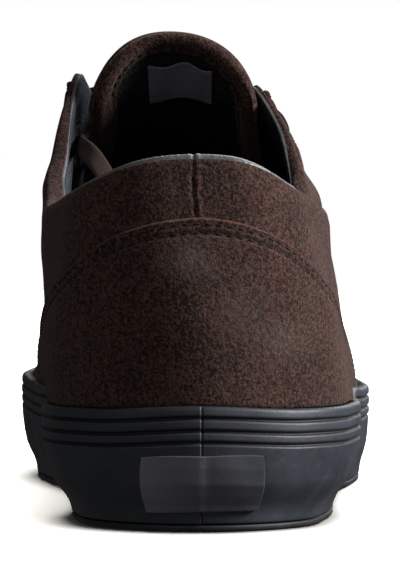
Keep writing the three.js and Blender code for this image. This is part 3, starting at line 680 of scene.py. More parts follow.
# The pale blob on the heel patch's left half is painted light
PATCH_RUBBER = rubber_material(
    "patch_rubber", (0.046, 0.048, 0.06), (0.064, 0.066, 0.081), 0.55, 0.05,
    painted_light=((-17, 0, 11), (34, 60, 60), (0.22, 0.22, 0.25)),
)
SOLE_RUBBER = rubber_material("outsole_rubber", (0.006, 0.0065, 0.008), (0.011, 0.012, 0.015), 0.6, 0.3)
BINDING = leather_material("collar_binding", (0.075, 0.075, 0.08), (0.13, 0.13, 0.136))
# The pale blob low on the inner flap's lining is painted light in its shade
LINING = knit_material(
    "collar_lining", (0.0012, 0.002, 0.0048), (0.022, 0.027, 0.042), pitch=0.9, sheen=0.01,
    painted_light=((-31, 112, 82), (9, 60, 18), (0.22, 0.25, 0.31)),
)
TONGUE_LINING = knit_material("tongue_lining", (0.002, 0.002, 0.0025), (0.012, 0.012, 0.0145))
BED = woven_material("insole_cloth", (0.003, 0.003, 0.004), (0.014, 0.014, 0.017), 1.1, 0.2, sheen=0.0)
LABEL_CLOTH = woven_material("label_cloth", (0.07, 0.07, 0.09), (0.21, 0.215, 0.27), 0.5, 0.12)
LACE = woven_material("lace_weave", (0.02, 0.0115, 0.009), (0.075, 0.046, 0.036), 0.8, 0.16, sheen=0.05)
THREAD = thread_material("thread", (0.004, 0.003, 0.003), (0.012, 0.009, 0.008))
EYELET = enamel_material("eyelet_enamel", (0.03, 0.022, 0.018), (0.12, 0.1, 0.085))
# Near-black for the plug inside each eyelet: painted shade in the hole
HOLE_SHADE = thread_material("eyelet_hole_shade", (0.001, 0.001, 0.001), (0.003, 0.003, 0.003))


# Loose lace end, a limp flat cord that goes down into the shoe from the top inner eyelet
cord_line = resample(catmull(LACE_END, np.linspace(0, 1, 400)), 90)
cord_far = walk(cord_line)
flap_way = unit(np.array([0.1, 0.7, 0.8]))
shoe_way = unit(np.array([1.0, 0.25, 0.1]))
turned = smooth(0.15, 0.5, cord_far / cord_far[-1])[:, None]
cord_flat = flap_way * (1 - turned) + shoe_way * turned
cord_points, cord_faces, cord_uv = ribbon(cord_line, cord_flat, np.full(len(cord_line), LACE_FOLD))
lace_end = make_piece(
    "lace_end_woven", cord_points, cord_faces, [LACE], uv=cord_uv, node="lace_end",
)


# Places round the shoe: even steps, finer within a few millimetres of the heel's middle
def ring_places(step, fine=0.25, near=4.0):
    far = np.arange(near, ROUND / 2, step)
    close = np.arange(0, near, fine)
    outer = np.concatenate([close, far]) / ROUND
    inner = 1 - outer[1:][::-1]
    return np.concatenate([outer, [0.5] if inner[0] - outer[-1] > 1.5 * step / ROUND else [], inner])


def heel_distance(t):
    """Distance round the outline from the heel, positive on the outer side."""
    return np.where(t <= 0.5, t, t - 1.0) * ROUND


# Fuller places of the flanks: side, middle along and up, reach along and up, height
FLANKS = ((1, 112, 79, 26, 6, 1.9), (-1, 82, 81, 16, 4.5, 1.0))


def unevenness(p):
    """Slow unevenness of hand-lasted suede, and the fuller flanks."""
    x, y, z = p[..., 0], p[..., 1], p[..., 2]
    a = np.sin(x / 11.0 + 1.3 * np.sin(y / 17.0)) * np.sin(z / 13.0 + 0.8)
    b = np.sin(y / 14.0 + 0.9 * np.sin(z / 9.0 + 1.1)) * np.cos(x / 19.0 + 0.4)
    c = np.sin((x + y) / 5.7 + 2.0 * np.sin(z / 21.0)) * np.sin((z - y) / 6.6)
    lift = 0.16 * a + 0.16 * b + 0.07 * c
    for side, along, up, reach_along, reach_up, height in FLANKS:
        lift = lift + height * bump(y - along, reach_along) * bump(z - up, reach_up) * (x * side > 0)
    return lift


# Soft creases: place t and v of both ends, bow, half width, depth
CREASES = (
    (0.352, 0.93, 0.5, 0.88, 0.0, 3.0, 0.55),
    (0.648, 0.93, 0.5, 0.88, 0.0, 3.0, 0.55),
    (0.335, 0.55, 0.375, 0.8, 3.0, 3.4, 0.55),
    (0.665, 0.55, 0.625, 0.8, -3.0, 3.4, 0.55),
    (0.115, 0.62, 0.165, 0.8, 2.0, 3.6, 0.5),
    (0.13, 0.42, 0.19, 0.6, 2.0, 4.0, 0.4),
    (0.885, 0.62, 0.835, 0.8, 2.0, 3.6, 0.5),
    (0.87, 0.42, 0.81, 0.6, 2.0, 4.0, 0.4),
    (0.022, 0.78, 0.052, 0.86, 1.0, 2.6, 0.35),
    (0.978, 0.8, 0.945, 0.87, 1.0, 2.6, 0.35),
)


def crease_lift(p):
    lift = np.zeros(p.shape[:-1])
    for t0, v0, t1, v1, bow, width, depth in CREASES:
        share = np.linspace(0, 1, 24)
        line = skin(t0 + (t1 - t0) * share, v0 + (v1 - v0) * share)
        line[:, 2] -= bow * 4 * share * (1 - share)
        low, high = line.min(0) - 14, line.max(0) + 14
        near = np.all((p > low) & (p < high), axis=-1)
        if not near.any():
            continue
        gap = np.linalg.norm(p[near][:, None] - line[None], axis=-1)
        k = gap.argmin(1)
        gap = gap[np.arange(len(k)), k]
        fade = np.sin(np.pi * np.clip(share[k], 0.02, 0.98)) ** 0.7
        lift[near] += depth * fade * (0.55 * bump(gap - 2.1 * width, width) - bump(gap, width))
    return lift


def quarter_line(side):
    """Front edge of the quarter, from the front of the eyestay down to the side wall."""
    t0 = place_of("throat_turn_outer" if side > 0 else "throat_turn_inner") - 0.012 * side
    t1 = place_of("throat_mid_outer" if side > 0 else "throat_mid_inner") + 0.012 * side
    share = np.linspace(0, 1, 60)
    t = t0 + (t1 - t0) * share**1.5
    v_top = rib_from_edge(t0, EYESTAY_NEAR_EDGE + EYESTAY_WIDTH - 3)
    return t, v_top * (1 - share) ** 1.1


def quarter_lift(t, v):
    """The quarters stand a little over the vamp, with a soft edge."""
    lift = np.zeros(t.shape)
    for side in (1, -1):
        line_t, line_v = quarter_line(side)
        order = np.argsort(line_v)
        edge_t = np.interp(v, line_v[order], line_t[order])
        ahead = (t - edge_t) * side * ROUND
        half = (t < 0.5) if side > 0 else (t >= 0.5)
        lift = np.where(half & (v <= line_v.max() + 0.02), -0.8 * smooth(-0.6, 0.7, ahead), lift)
        lift = np.where(half & (v > line_v.max() + 0.02) & (t * side > line_t[0] * side), -0.8, lift)
    return lift


def seam_lift(s, z):
    """The upright seam at the middle of the heel, above the counter."""
    wander = 0.22 * np.sin(z * 0.55) + 0.15 * np.sin(z * 1.7)
    across = s + 1.3 + 1.2 * (z - 70) / 14 - wander
    depth = 0.32 + 0.1 * np.sin(z * 0.9)
    ridge = 0.22 * bump(across - 1.3, 0.9) + 0.12 * bump(across + 1.5, 1.0)
    return smooth(66, 70, z) * (ridge - depth * bump(across, 0.55))


def walks_up(grid):
    """Distance walked up each column of a grid of points."""
    steps = np.linalg.norm(np.diff(grid, axis=1), axis=-1)
    return np.concatenate([np.zeros((len(grid), 1)), np.cumsum(steps, 1)], 1)


def skin_relief(t, v):
    p = rib_point(t, v)
    return unevenness(p) + crease_lift(p)


# The rim in degrees from the suede side over the top: where the binding starts and how wide it is
BINDING_STARTS = {"heel": 34, "collar": 90, "outer_flap": 118, "inner_flap": 142, "throat": 146}
BINDING_WIDE = {"heel": 60, "sides": 24}
RIM_ENDS = 172
SUEDE_SHARES = np.array([[0.3, 0.55, 0.8, 0.93, 1.0]])
BINDING_SHARES = np.array([[0.04, 0.2, 0.5, 0.8, 0.96, 1.0]])
LINING_SHARES = np.array([[0.05, 0.3, 0.65]])
RIM_SUNK = np.array([1.0, 1.0, 1.0, 0.98, 0.9, 0.96, 1.02, 1.04, 1.02, 0.96, 0.9, 0.9, 0.96, 1.0])


def rim_angles(t, at_sides, on_inner):
    starts, wide = BINDING_STARTS, BINDING_WIDE
    flap = starts["outer_flap"] + (starts["inner_flap"] - starts["outer_flap"]) * on_inner
    side = starts["collar"] + (flap - starts["collar"]) * smooth(0.5, 3.0, around("pad", t))
    throat_reach = 0.5 - place_of("flap_front_outer")
    at_throat = smooth(throat_reach + 0.006, throat_reach - 0.012, np.abs(t - 0.5))
    low = starts["heel"] + (side - starts["heel"]) * at_sides
    low = (low + (starts["throat"] - low) * at_throat)[:, None]
    high = low + wide["heel"] + (wide["sides"] - wide["heel"]) * at_sides[:, None]
    return np.concatenate([
        low * SUEDE_SHARES, low + (high - low) * BINDING_SHARES, high + (RIM_ENDS - high) * LINING_SHARES,
    ], 1)


def upper_shell():
    t = ring_places(1.05)
    v = 1 - (1 - np.linspace(0, 1, 74)) ** 1.12
    grid_t, grid_v = np.meshgrid(t, v, indexing="ij")
    base = rib_point(grid_t, grid_v)
    lift = skin_relief(grid_t, grid_v) + seam_lift(heel_distance(grid_t), base[..., 2])
    lift = (lift + quarter_lift(grid_t, grid_v)) * smooth(0, 0.06, grid_v)
    outer = base + skin_normal(grid_t, grid_v) * lift[..., None]
    deep_t, deep_v = np.meshgrid(t, np.linspace(1, 0, 30), indexing="ij")
    thick = WALL + around("pad", deep_t) * smooth(PAD_STARTS, PAD_FULL, deep_v)
    inner = skin(deep_t, deep_v, -thick)
    inner += skin_normal(deep_t, deep_v) * (unevenness(inner) * 0.8)[..., None]
    inner[:, -1] = sole_point(t, UPPER_INSET + WALL, around("band", t))
    middle = (outer[:, -1] + inner[:, 0]) / 2
    across = outer[:, -1] - middle
    crest = rib_tangent(t, 1.0) * np.linalg.norm(across, axis=-1, keepdims=True)
    at_sides = smooth(34, 62, np.abs(heel_distance(t)))
    degrees = rim_angles(t, at_sides, smooth(0, -10, outer[:, -1, 0]))
    square = 1 - 0.5 * at_sides[:, None] * smooth(0, 60, degrees) * smooth(150, 110, degrees)
    over, up = np.cos(np.radians(degrees)), np.sin(np.radians(degrees))
    turned = (
        across[:, None] * (np.sign(over) * np.abs(over) ** square)[..., None]
        + crest[:, None] * (np.abs(up) ** square)[..., None]
    )
    rim = middle[:, None] + turned * RIM_SUNK[:, None]
    skirt = CORE_TOP + 0.3
    feet = np.stack([sole_point(t, UPPER_INSET + WALL, skirt), sole_point(t, UPPER_INSET, skirt)], 1)
    section = np.concatenate([outer, rim, inner, feet], 1)
    kinds = np.zeros(section.shape[:2])
    edge, bound = outer.shape[1], BINDING_SHARES.size
    kinds[:, edge + 4:edge + 4 + bound] = 1
    kinds[:, edge + 4 + bound:edge + rim.shape[1] + inner.shape[1]] = 2
    far = walks_up(section)
    uv = np.stack([np.broadcast_to((t * ROUND)[:, None], far.shape), far], -1)
    return make_piece(
        "upper_shell", section, grid_faces(*section.shape[:2], close_rows=True, close_columns=True),
        [SUEDE, BINDING, LINING], kinds, uv=uv, node="upper",
    )


def edge_round(distance, radius):
    x = np.clip(distance / radius, 0, 1)
    return -radius * (1 - np.sqrt(np.maximum(0, 1 - (1 - x) ** 2)))


def overlay(name, t, low, high, spacing, grooves, node, low_edge=False):
    """A sewn-on panel between two places of each rib. spacing gives its rows from 0 to 1."""
    def grid(rows):
        return np.broadcast_arrays(t[:, None], low[:, None] + (high - low)[:, None] * rows[None])

    grid_t, grid_v = grid(spacing)
    base = rib_point(grid_t, grid_v)
    far = walks_up(base)
    to_high = far[:, -1:] - far
    lift = OVERLAY_LIFT + skin_relief(grid_t, grid_v) + edge_round(to_high, OVERLAY_ROUND)
    if low_edge:
        lift = lift + edge_round(far, OVERLAY_ROUND)
    for from_high, distance, width, depth in grooves:
        lift = lift - depth * bump((to_high if from_high else far) - distance, width)
    outwards = skin_normal(grid_t, grid_v)
    top = base + outwards * lift[..., None]
    normals = grid_normals(top)
    normals *= np.sign((normals * outwards).sum())
    back_t, back_v = grid(np.linspace(1, 0, 9))
    section = np.concatenate([top, skin(back_t, back_v, 0.05 + skin_relief(back_t, back_v))], 1)
    count, size = section.shape[:2]
    kinds = np.zeros((count - 1, size))
    kinds[:, top.shape[1] - 3:top.shape[1]] = 1
    if low_edge:
        kinds[:, :2] = 1
        kinds[:, -1] = 1
    faces = [grid_faces(count, size, close_columns=True)] + end_caps(size, count)
    kinds = np.append(kinds, [0, 0])
    make_piece(name, section, faces, [SUEDE, SUEDE_EDGE], kinds, node=node)
    return top, normals, far, to_high


def row_on(top, normals, far, distance):
    """The line on a panel that keeps one distance from an edge, and the normals along it."""
    if far[0, 0] > far[0, -1]:
        top, normals, far = top[:, ::-1], normals[:, ::-1], far[:, ::-1]
    return [
        np.array([[np.interp(distance, gone, row[:, i]) for i in range(3)] for gone, row in zip(far, grid)])
        for grid in (top, normals)
    ]


threads = Stitches()
counter_curve = catmull(COUNTER_EDGE, np.linspace(0, 1, 500))
counter_t = np.linspace(-11, 11, 400) / ROUND_STEPS
counter_high = np.interp(np.abs(counter_t) * ROUND, counter_curve[:, 0], counter_curve[:, 1])
counter_low_v = rib_at_height(counter_t, rib_point(counter_t, 0.0)[:, 2] + 0.4)
counter_high_v = np.maximum(rib_at_height(counter_t, counter_high), counter_low_v + 0.004)
counter_rows = 1 - np.concatenate([np.linspace(0, 0.16, 24)[:-1], np.linspace(0.16, 1, 44)])[::-1]
counter_top, counter_normals, _, counter_to_edge = overlay(
    "heel_counter_suede", counter_t, counter_low_v, counter_high_v, counter_rows,
    [(True, distance, 0.7, 0.12 * distance) for distance in COUNTER_STITCHES], "heel_counter",
)
for distance in COUNTER_STITCHES:
    reach = counter_to_edge[:, 0] > distance + 2
    line, ups = row_on(counter_top[reach], counter_normals[reach], counter_to_edge[reach], distance)
    threads.row(line, ups, length=1.4, width=0.5, high=0.05)

upper_shell()


# Eyestay, round the throat from one flap to the other
first = np.ceil(place_of("flap_back_outer") * ROUND_STEPS) / ROUND_STEPS
last = np.floor(place_of("flap_back_inner") * ROUND_STEPS) / ROUND_STEPS
stay_t = np.linspace(first, last, 420)
from_toe = np.abs(stay_t - 0.5)
stay_back = smooth(0.5 - place_of("flap_front_outer"), 0.5 - place_of("flap_back_outer"), from_toe)
stay_width = EYESTAY_WIDTH + (EYESTAY_FRONT - EYESTAY_WIDTH) * (1 - smooth(0.06, 0.16, from_toe))
stay_width = stay_width + (EYESTAY_BACK - stay_width) * stay_back
stay_top, stay_normals, stay_far, stay_to_high = overlay(
    "eyestay_suede", stay_t, rib_from_edge(stay_t, EYESTAY_NEAR_EDGE + stay_width),
    rib_from_edge(stay_t, EYESTAY_NEAR_EDGE), np.linspace(0, 1, 40),
    [(False, 1.9, 0.7, 0.4), (False, 3.7, 0.7, 0.4), (True, 2.0, 0.7, 0.35)], "eyestay", low_edge=True,
)
for far, distance in ((stay_far, 1.9), (stay_far, 3.7), (stay_to_high, 2.0)):
    threads.row(*row_on(stay_top, stay_normals, far, distance))
for side in (1, -1):
    line_t, line_v = quarter_line(side)
    above = line_v > 0.02
    for behind in (2.0, 3.9):
        seam_t, seam_v = (line_t - side * behind / ROUND)[above], line_v[above]
        line = skin(seam_t, seam_v, skin_relief(seam_t, seam_v) - 0.12)
        threads.row(line, skin_normal(seam_t, seam_v), high=0.06, width=0.5)


# Side wall with its ribs and its joint at the heel. The taper is drawn in by these shares at these heights
WALL_TAPER = {
    PLATE_TOP: 1.22, 3: 1.18, 4.5: 1.09, 6: 0.94, 8: 0.67, 10.5: 0.38, 14: 0.19, 18: 0.05, 19.5: 0,
}
GROOVE_REACH = 0.36
GROOVE_DEEP = 0.85


def wall_inset(t, high):
    return around("taper", t) * np.interp(high, list(WALL_TAPER), list(WALL_TAPER.values()))


def side_wall():
    t = ring_places(1.05, fine=0.14, near=3.5)
    s = heel_distance(t)[:, None]
    top = around("band", t)
    grooves = np.concatenate([drop + np.linspace(-0.95, 0.95, 9) for drop in RIB_DROPS])
    drops = np.sort(np.concatenate([[0.02, 0.12, 0.3, 0.6, 1.0, 1.4], grooves]))
    low = np.concatenate([[PLATE_TOP, PLATE_TOP + 0.12, PLATE_TOP + 0.4], np.linspace(2.8, 17.4, 14)])
    high = np.concatenate([np.broadcast_to(low, (len(t), len(low))), top[:, None] - drops[::-1]], 1)
    under_top = top[:, None] - high
    inset = wall_inset(t[:, None], high)
    for drop in RIB_DROPS:
        inset = inset + GROOVE_DEEP * bump(under_top - drop, GROOVE_REACH)
    inset = inset - 0.12 * np.sin(np.pi * np.clip((under_top - 0.3) / 8.4, 0, 1))
    inset = inset - edge_round(under_top, 0.9) - edge_round(high - PLATE_TOP, 0.45)
    lap = 0.5 * np.exp(np.minimum(s, 0) / 16) * (1 - smooth(0.1, 0.36, s))
    inset = inset - lap + 0.35 * bump(s - 0.45, 0.2)
    inset = inset + 0.06 * np.sin(t * 2 * np.pi * 9)[:, None] * np.sin(high / 5)
    outer = sole_point(t[:, None], inset, high)
    inner = [
        sole_point(t, FOXING_TOP, top), sole_point(t, FOXING_TOP, CORE_TOP),
        sole_point(t, FOXING_FOOT + 0.6, CORE_TOP - 0.7),
    ]
    inner += [sole_point(t, wall_inset(t, level) + FOXING_FOOT, level) for level in (10.5, 6, PLATE_TOP)]
    section = np.concatenate([outer, np.stack(inner, 1)], 1)
    kinds = np.zeros(section.shape[:2])
    # The faces in the grooves take the near-black rubber: painted shade
    between = (under_top[0, :-1] + under_top[0, 1:]) / 2
    kinds[:, :len(between)] = np.min([np.abs(between - drop) for drop in RIB_DROPS], axis=0) < GROOVE_REACH
    make_piece(
        "side_wall_rubber", section, grid_faces(*section.shape[:2], close_rows=True, close_columns=True),
        [RUBBER, GROOVE_SHADE_RUBBER], kinds, node="foxing",
    )


side_wall()


def sealed(top, back):
    """Points and faces of two equal grids joined at their rims."""
    rows, columns = top.shape[:2]
    size = rows * columns
    at = np.arange(size).reshape(rows, columns)
    rim = np.concatenate([at[0], at[1:, -1], at[-1, -2::-1], at[-2:0:-1, 0]])
    after = np.roll(rim, -1)
    return np.stack([top, back]), [
        grid_faces(rows, columns), grid_faces(rows, columns, start=size)[:, ::-1],
        np.stack([after, rim, rim + size, after + size], -1),
    ]


def heel_patch():
    line = np.sin(np.linspace(-np.pi / 2, np.pi / 2, 56))
    x, y = np.meshgrid(line, line, indexing="ij")
    rounded = 1 - PATCH_ROUND * x**2 * y**2
    x, y = x * rounded, y * rounded
    wide, tall = PATCH["right"] - PATCH["left"], PATCH["top"] - PATCH["bottom"]
    s = (PATCH["left"] + PATCH["right"]) / 2 + x * wide / 2 * (1 + (1 - y) / 2 * PATCH_SPREAD)
    sag = 0.45 * bump(s - 0.5, 6.5) * (y + 1) / 2
    high = (PATCH["top"] + PATCH["bottom"]) / 2 + y * tall / 2 + 0.014 * s - sag
    to_rim = np.minimum((1 - np.abs(x)) * wide / 2, (1 - np.abs(y)) * tall / 2)
    step = 0.3 * smooth(0.75, 1.15, s) * np.exp(-np.maximum(s - 1.2, 0) / 6)
    rise = 1.15 + edge_round(to_rim, 0.35) - step + 0.1 * np.sin(s * 0.5 + 1) * np.sin(high * 0.4)
    t = s / ROUND
    inset = wall_inset(t, high)
    points, faces = sealed(sole_point(t, inset - rise, high), sole_point(t, inset + 0.3, high))
    make_piece("heel_patch_rubber", points, faces, [PATCH_RUBBER], node="heel_patch")


heel_patch()


# Outsole: the plate under the side wall with a pattern of small diamond lugs
LUG_PITCH = (7.4, 9.6)
LUG_HALF = np.array([[3.1, 0], [0, 4.1], [-3.1, 0], [0, -4.1]])
LUG_RINGS = ((1.0, 1.2), (1.0, 0.25), (0.9, 0.04), (0.45, 0.04))
LUG_FROM_RIM = 11.5


def stack(loops):
    """Loops round the shoe closed at the bottom and the top by rungs from side to side."""
    levels, count = len(loops), len(loops[0])
    half = count // 2
    right = np.arange(1, half - 1)
    left = count - right
    quads = np.stack([right, left, left - 1, right + 1], -1)
    ends = np.array([[0, 1, count - 1], [half - 1, half, half + 1]])
    top = (levels - 1) * count
    return np.concatenate(loops), [
        grid_faces(levels, count, close_columns=True), quads, ends[:, ::-1], quads[:, ::-1] + top, ends + top,
    ]


def outsole():
    t = np.arange(560) / 560
    wrap = FOXING_FOOT + 0.4
    foot = 1.2 * around("taper", t)
    levels = [
        (foot + 3.9, 1.15), (foot + 3.5, 0.25), (foot + 3.1, 0.03), (foot + 1.2, 0.03), (foot + 0.6, 0.14),
        (foot + 0.2, 0.45), (foot + 0.1, PLATE - 0.15), (foot + 0.2, PLATE), (foot + wrap, PLATE),
        (wall_inset(t, 6) + wrap, 6), (wall_inset(t, 10.5) + wrap, 10.5), (4.2, CORE_TOP),
    ]
    points, faces = stack([sole_point(t, inset, high) for inset, high in levels])
    make_piece("outsole_plate", points, faces, [SOLE_RUBBER], node="outsole")


def inside_outline(points, inset):
    t = np.arange(720) / 720
    loop = outline(t)
    nearest = np.linalg.norm(points[:, None] - loop[None], axis=-1).argmin(1)
    inner = inwards(outline, t)[nearest, :2]
    return np.einsum("ij,ij->i", points - loop[nearest], inner) > inset


def tread():
    wide, long = LUG_PITCH
    rows = np.arange(4, LENGTH, long / 2)
    spots = [(x + k % 2 * wide / 2, y) for k, y in enumerate(rows) for x in np.arange(-60, 60, wide)]
    spots = np.array(spots)
    spots = spots[inside_outline(spots, LUG_FROM_RIM)]
    rings = []
    for size, high in LUG_RINGS:
        corner = spots[:, None] + LUG_HALF * size
        rings.append(np.concatenate([corner, (ground(corner[..., 1]) + high)[..., None]], -1))
    make_forms("outsole_tread", np.stack(rings, 1), SOLE_RUBBER)


outsole()
tread()


# Insole with a shallow heel cup
def insole():
    t = np.arange(360) / 360
    low = CORE_TOP + 0.3
    loops = [sole_point(t, 6.7, low), sole_point(t, 6.0, low + 0.7)]
    middle = np.stack([np.full(len(t), -2.0), np.clip(outline(t)[:, 1], 34, LENGTH - 40)], -1)
    start = sole_point(t, 6.0, 0)[:, :2]
    for share in (0.0, 0.01, 0.04, 0.1, 0.2, 0.34, 0.5, 0.66, 0.82, 0.94):
        plan = start + (middle - start) * share
        cup = 1.7 * (1 - smooth(60, 130, plan[:, 1])) * (1 - share) ** 2.2
        high = low + 4.0 + cup - 0.6 * (share == 0.0)
        loops.append(np.concatenate([plan, (ground(plan[:, 1]) + high)[:, None]], 1))
    points, faces = stack(loops)
    make_piece("insole_bed", points, faces, [BED], uv=points[:, :2], node="insole")


insole()


# Tongue
TONGUE = np.array(TONGUE_ROWS, float)
spine_u = np.linspace(0, 1, 1600)
spine_points = catmull(np.stack([TONGUE[:, 0], TONGUE[:, 1], TONGUE_TOP - TONGUE[:, 2]], -1), spine_u)
spine_far = walk(spine_points)
SPINE_LENGTH = spine_far[-1]
spine_tangents = unit(np.gradient(spine_points, axis=0))


def on_spine(vectors, far):
    return np.stack([np.interp(far, spine_far, vectors[:, k]) for k in range(3)], -1)


def tongue_column(column, far):
    u = np.interp(far, spine_far, spine_u) * (len(TONGUE) - 1)
    return np.interp(u, np.arange(len(TONGUE)), TONGUE[:, column])


def tongue_point(across, far, rise, extra=0.0):
    across, far, rise, extra = np.broadcast_arrays(across, far, rise, extra)
    far = np.clip(far, 0, SPINE_LENGTH)
    tangent = unit(on_spine(spine_tangents, far))
    normal = unit(np.stack([0 * far, -tangent[..., 2], tangent[..., 1]], -1))
    side = unit(np.cross(normal, tangent))
    bend = tongue_column(4, far)
    turn = np.arcsin(np.clip(across * tongue_column(3, far) / bend, -0.999, 0.999))
    thick = tongue_column(5, far) * (1 - 0.45 * across**4)
    radius = bend + thick * rise + extra
    lifted = normal * (radius * np.cos(turn) - bend)[..., None] + side * (radius * np.sin(turn))[..., None]
    return on_spine(spine_points, far) + lifted


def tongue_start(across):
    run, power = TONGUE_CORNER
    return run * (1 - np.sqrt(np.maximum(0, 1 - np.abs(across) ** power)))


def tongue_wave(across, far):
    """The slack of the padded tongue near its top."""
    near = 1 - smooth(10, 60, far)
    return near * (0.45 * np.sin(across * 4.2 + far / 9.0) + 0.3 * np.sin(far / 6.0 + 1.0))


def tongue():
    columns, rows = 110, 120
    across = np.sin(np.linspace(-np.pi / 2, np.pi / 2, columns))[:, None]
    start = tongue_start(across)
    far = start + (SPINE_LENGTH - start) * np.linspace(0, 1, rows) ** 1.5
    across = np.broadcast_to(across, far.shape)
    middle = tongue_point(across, far, 0.0)
    rim = np.concatenate([middle[:, 0], middle[0, 1:], middle[-1, 1:]])
    gap = np.full(far.shape, np.inf)
    for k in range(0, len(rim), 40):
        gap = np.minimum(gap, np.linalg.norm(middle[:, :, None] - rim[k:k + 40], axis=-1).min(-1))
    puff = np.sqrt(np.maximum(0, 1 - (1 - np.clip(gap / 2.2, 0, 1)) ** 2))
    wave = tongue_wave(across, far)
    border = 4.8 + 2.6 * smooth(0.3, 0.85, across) * smooth(8, 20, far)
    step = 0.5 * (1 - smooth(border - 0.3, border + 0.3, gap))
    back_stitch, front_stitch = border - 1.2, 5.2
    groove = 0.45 * bump(gap - back_stitch, 0.6)
    swell = 0.9 * smooth(4, 14, gap) * np.sin(np.pi * np.clip(far / 46, 0, 1))
    front_lift = wave + swell - 0.45 * bump(gap - front_stitch, 0.8)
    front = tongue_point(across, far, 0.5 * puff, front_lift * puff)
    back = tongue_point(across, far, -0.5 * puff, (wave - step + groove) * puff)
    points, faces = sealed(front, back)
    lined = (gap > border)[:-1, :-1].ravel()
    kinds = np.concatenate([0 * lined, lined, np.zeros(len(faces[2]))])
    uv = np.stack([across * 22, far], -1)
    piece = make_piece(
        "tongue_padded", points, faces, [SUEDE, TONGUE_LINING], kinds, [uv, uv], node="tongue",
    )
    for surface, distance in ((back, back_stitch), (front, front_stitch)):
        normals = grid_normals(surface)
        normals *= np.sign(np.einsum("ijk,ijk->ij", normals, surface - middle))[..., None]
        inside = gap > distance
        first_in = np.argmax(inside, axis=1)
        shown = [i for i in range(4, columns - 4) if inside[i].any() and far[i, first_in[i]] < 60]
        place = (shown, first_in[shown])
        threads.row(surface[place], normals[place], pitch=2.6, length=1.8)


tongue()


def tongue_label():
    x, down = np.meshgrid(np.linspace(0, 1, 70), np.linspace(0, 1, 36), indexing="ij")
    across = LABEL["left"] + (LABEL["right"] - LABEL["left"]) * x
    far = LABEL["top"] + (LABEL["bottom"] - LABEL["top"]) * down
    far = far + 0.6 * np.sin(x * 9.5 + 0.6) + 1.0 * (x - 0.5)
    lift = -0.55 - 0.35 * np.sin(x * 11) * np.sin(far / 4.5) + tongue_wave(across, far)
    top, back = tongue_point(across, far, -0.5, lift - 0.45), tongue_point(across, far, -0.5, lift)
    points, faces = sealed(top, back)
    uv = np.stack([x * 18, far], -1)
    make_piece(
        "tongue_label_woven", points, faces, [LABEL_CLOTH], uv=[uv, uv], node="tongue_label",
    )


tongue_label()


# Eyelets, as circles with a radius and a height, and lace bars
EYELET_RING = ((2.1, -0.35), (2.15, 0.1), (2.45, 0.48), (2.95, 0.62), (3.5, 0.5), (3.85, 0.2), (3.95, -0.15))
EYELET_HOLE = ((2.3, -0.3), (2.3, 0.1), (1.2, 0.05))
EYELET_SIDES = 40


def eyelet_seat(y, side):
    t = throat_place(y, side)
    return t, rib_from_edge(t, EYELET_FROM_EDGE)


def eyelet(k, y, side):
    t, v = eyelet_seat(y, side)
    up = skin_normal(t, v)
    seat = skin(t, v, OVERLAY_LIFT + skin_relief(t, v) + 0.02)
    right = unit(np.cross(up, np.array([0.3, 0.3, 1.3])))
    angle = turns(EYELET_SIDES)[:, None]
    spokes = right * np.cos(angle) + np.cross(up, right) * np.sin(angle)
    ring = [seat + up * high + radius * spokes for radius, high in EYELET_RING]
    hole = [seat + up * high + radius * spokes for radius, high in EYELET_HOLE]
    name = "outer" if side > 0 else "inner"
    faces = grid_faces(EYELET_SIDES, len(ring), close_rows=True, close_columns=True)
    ring = np.stack(ring, 1)
    make_piece(f"eyelet_ring_{name}_{k}", ring, faces, [EYELET], node=f"eyelet_{name}_{k}")
    # A near-black plug fills each eyelet's hole: painted shade
    faces = [grid_faces(len(hole), EYELET_SIDES, close_columns=True)] + end_caps(EYELET_SIDES, len(hole))
    make_piece(f"eyelet_hole_{name}_{k}", hole, faces, [HOLE_SHADE])


def spine_at(y):
    return search(0.0, SPINE_LENGTH, lambda far: tongue_point(0.0, far, 0.5)[..., 1] < y)


def tongue_top(x, y, extra):
    far = spine_at(y)
    across = np.clip((x - tongue_point(0.0, far, 0.0)[..., 0]) / tongue_column(3, far), -0.98, 0.98)
    down = search(far, SPINE_LENGTH, lambda far: tongue_point(across, far, 0.5, extra)[..., 1] < y)
    return tongue_point(across, down, 0.5, extra)[..., 2]


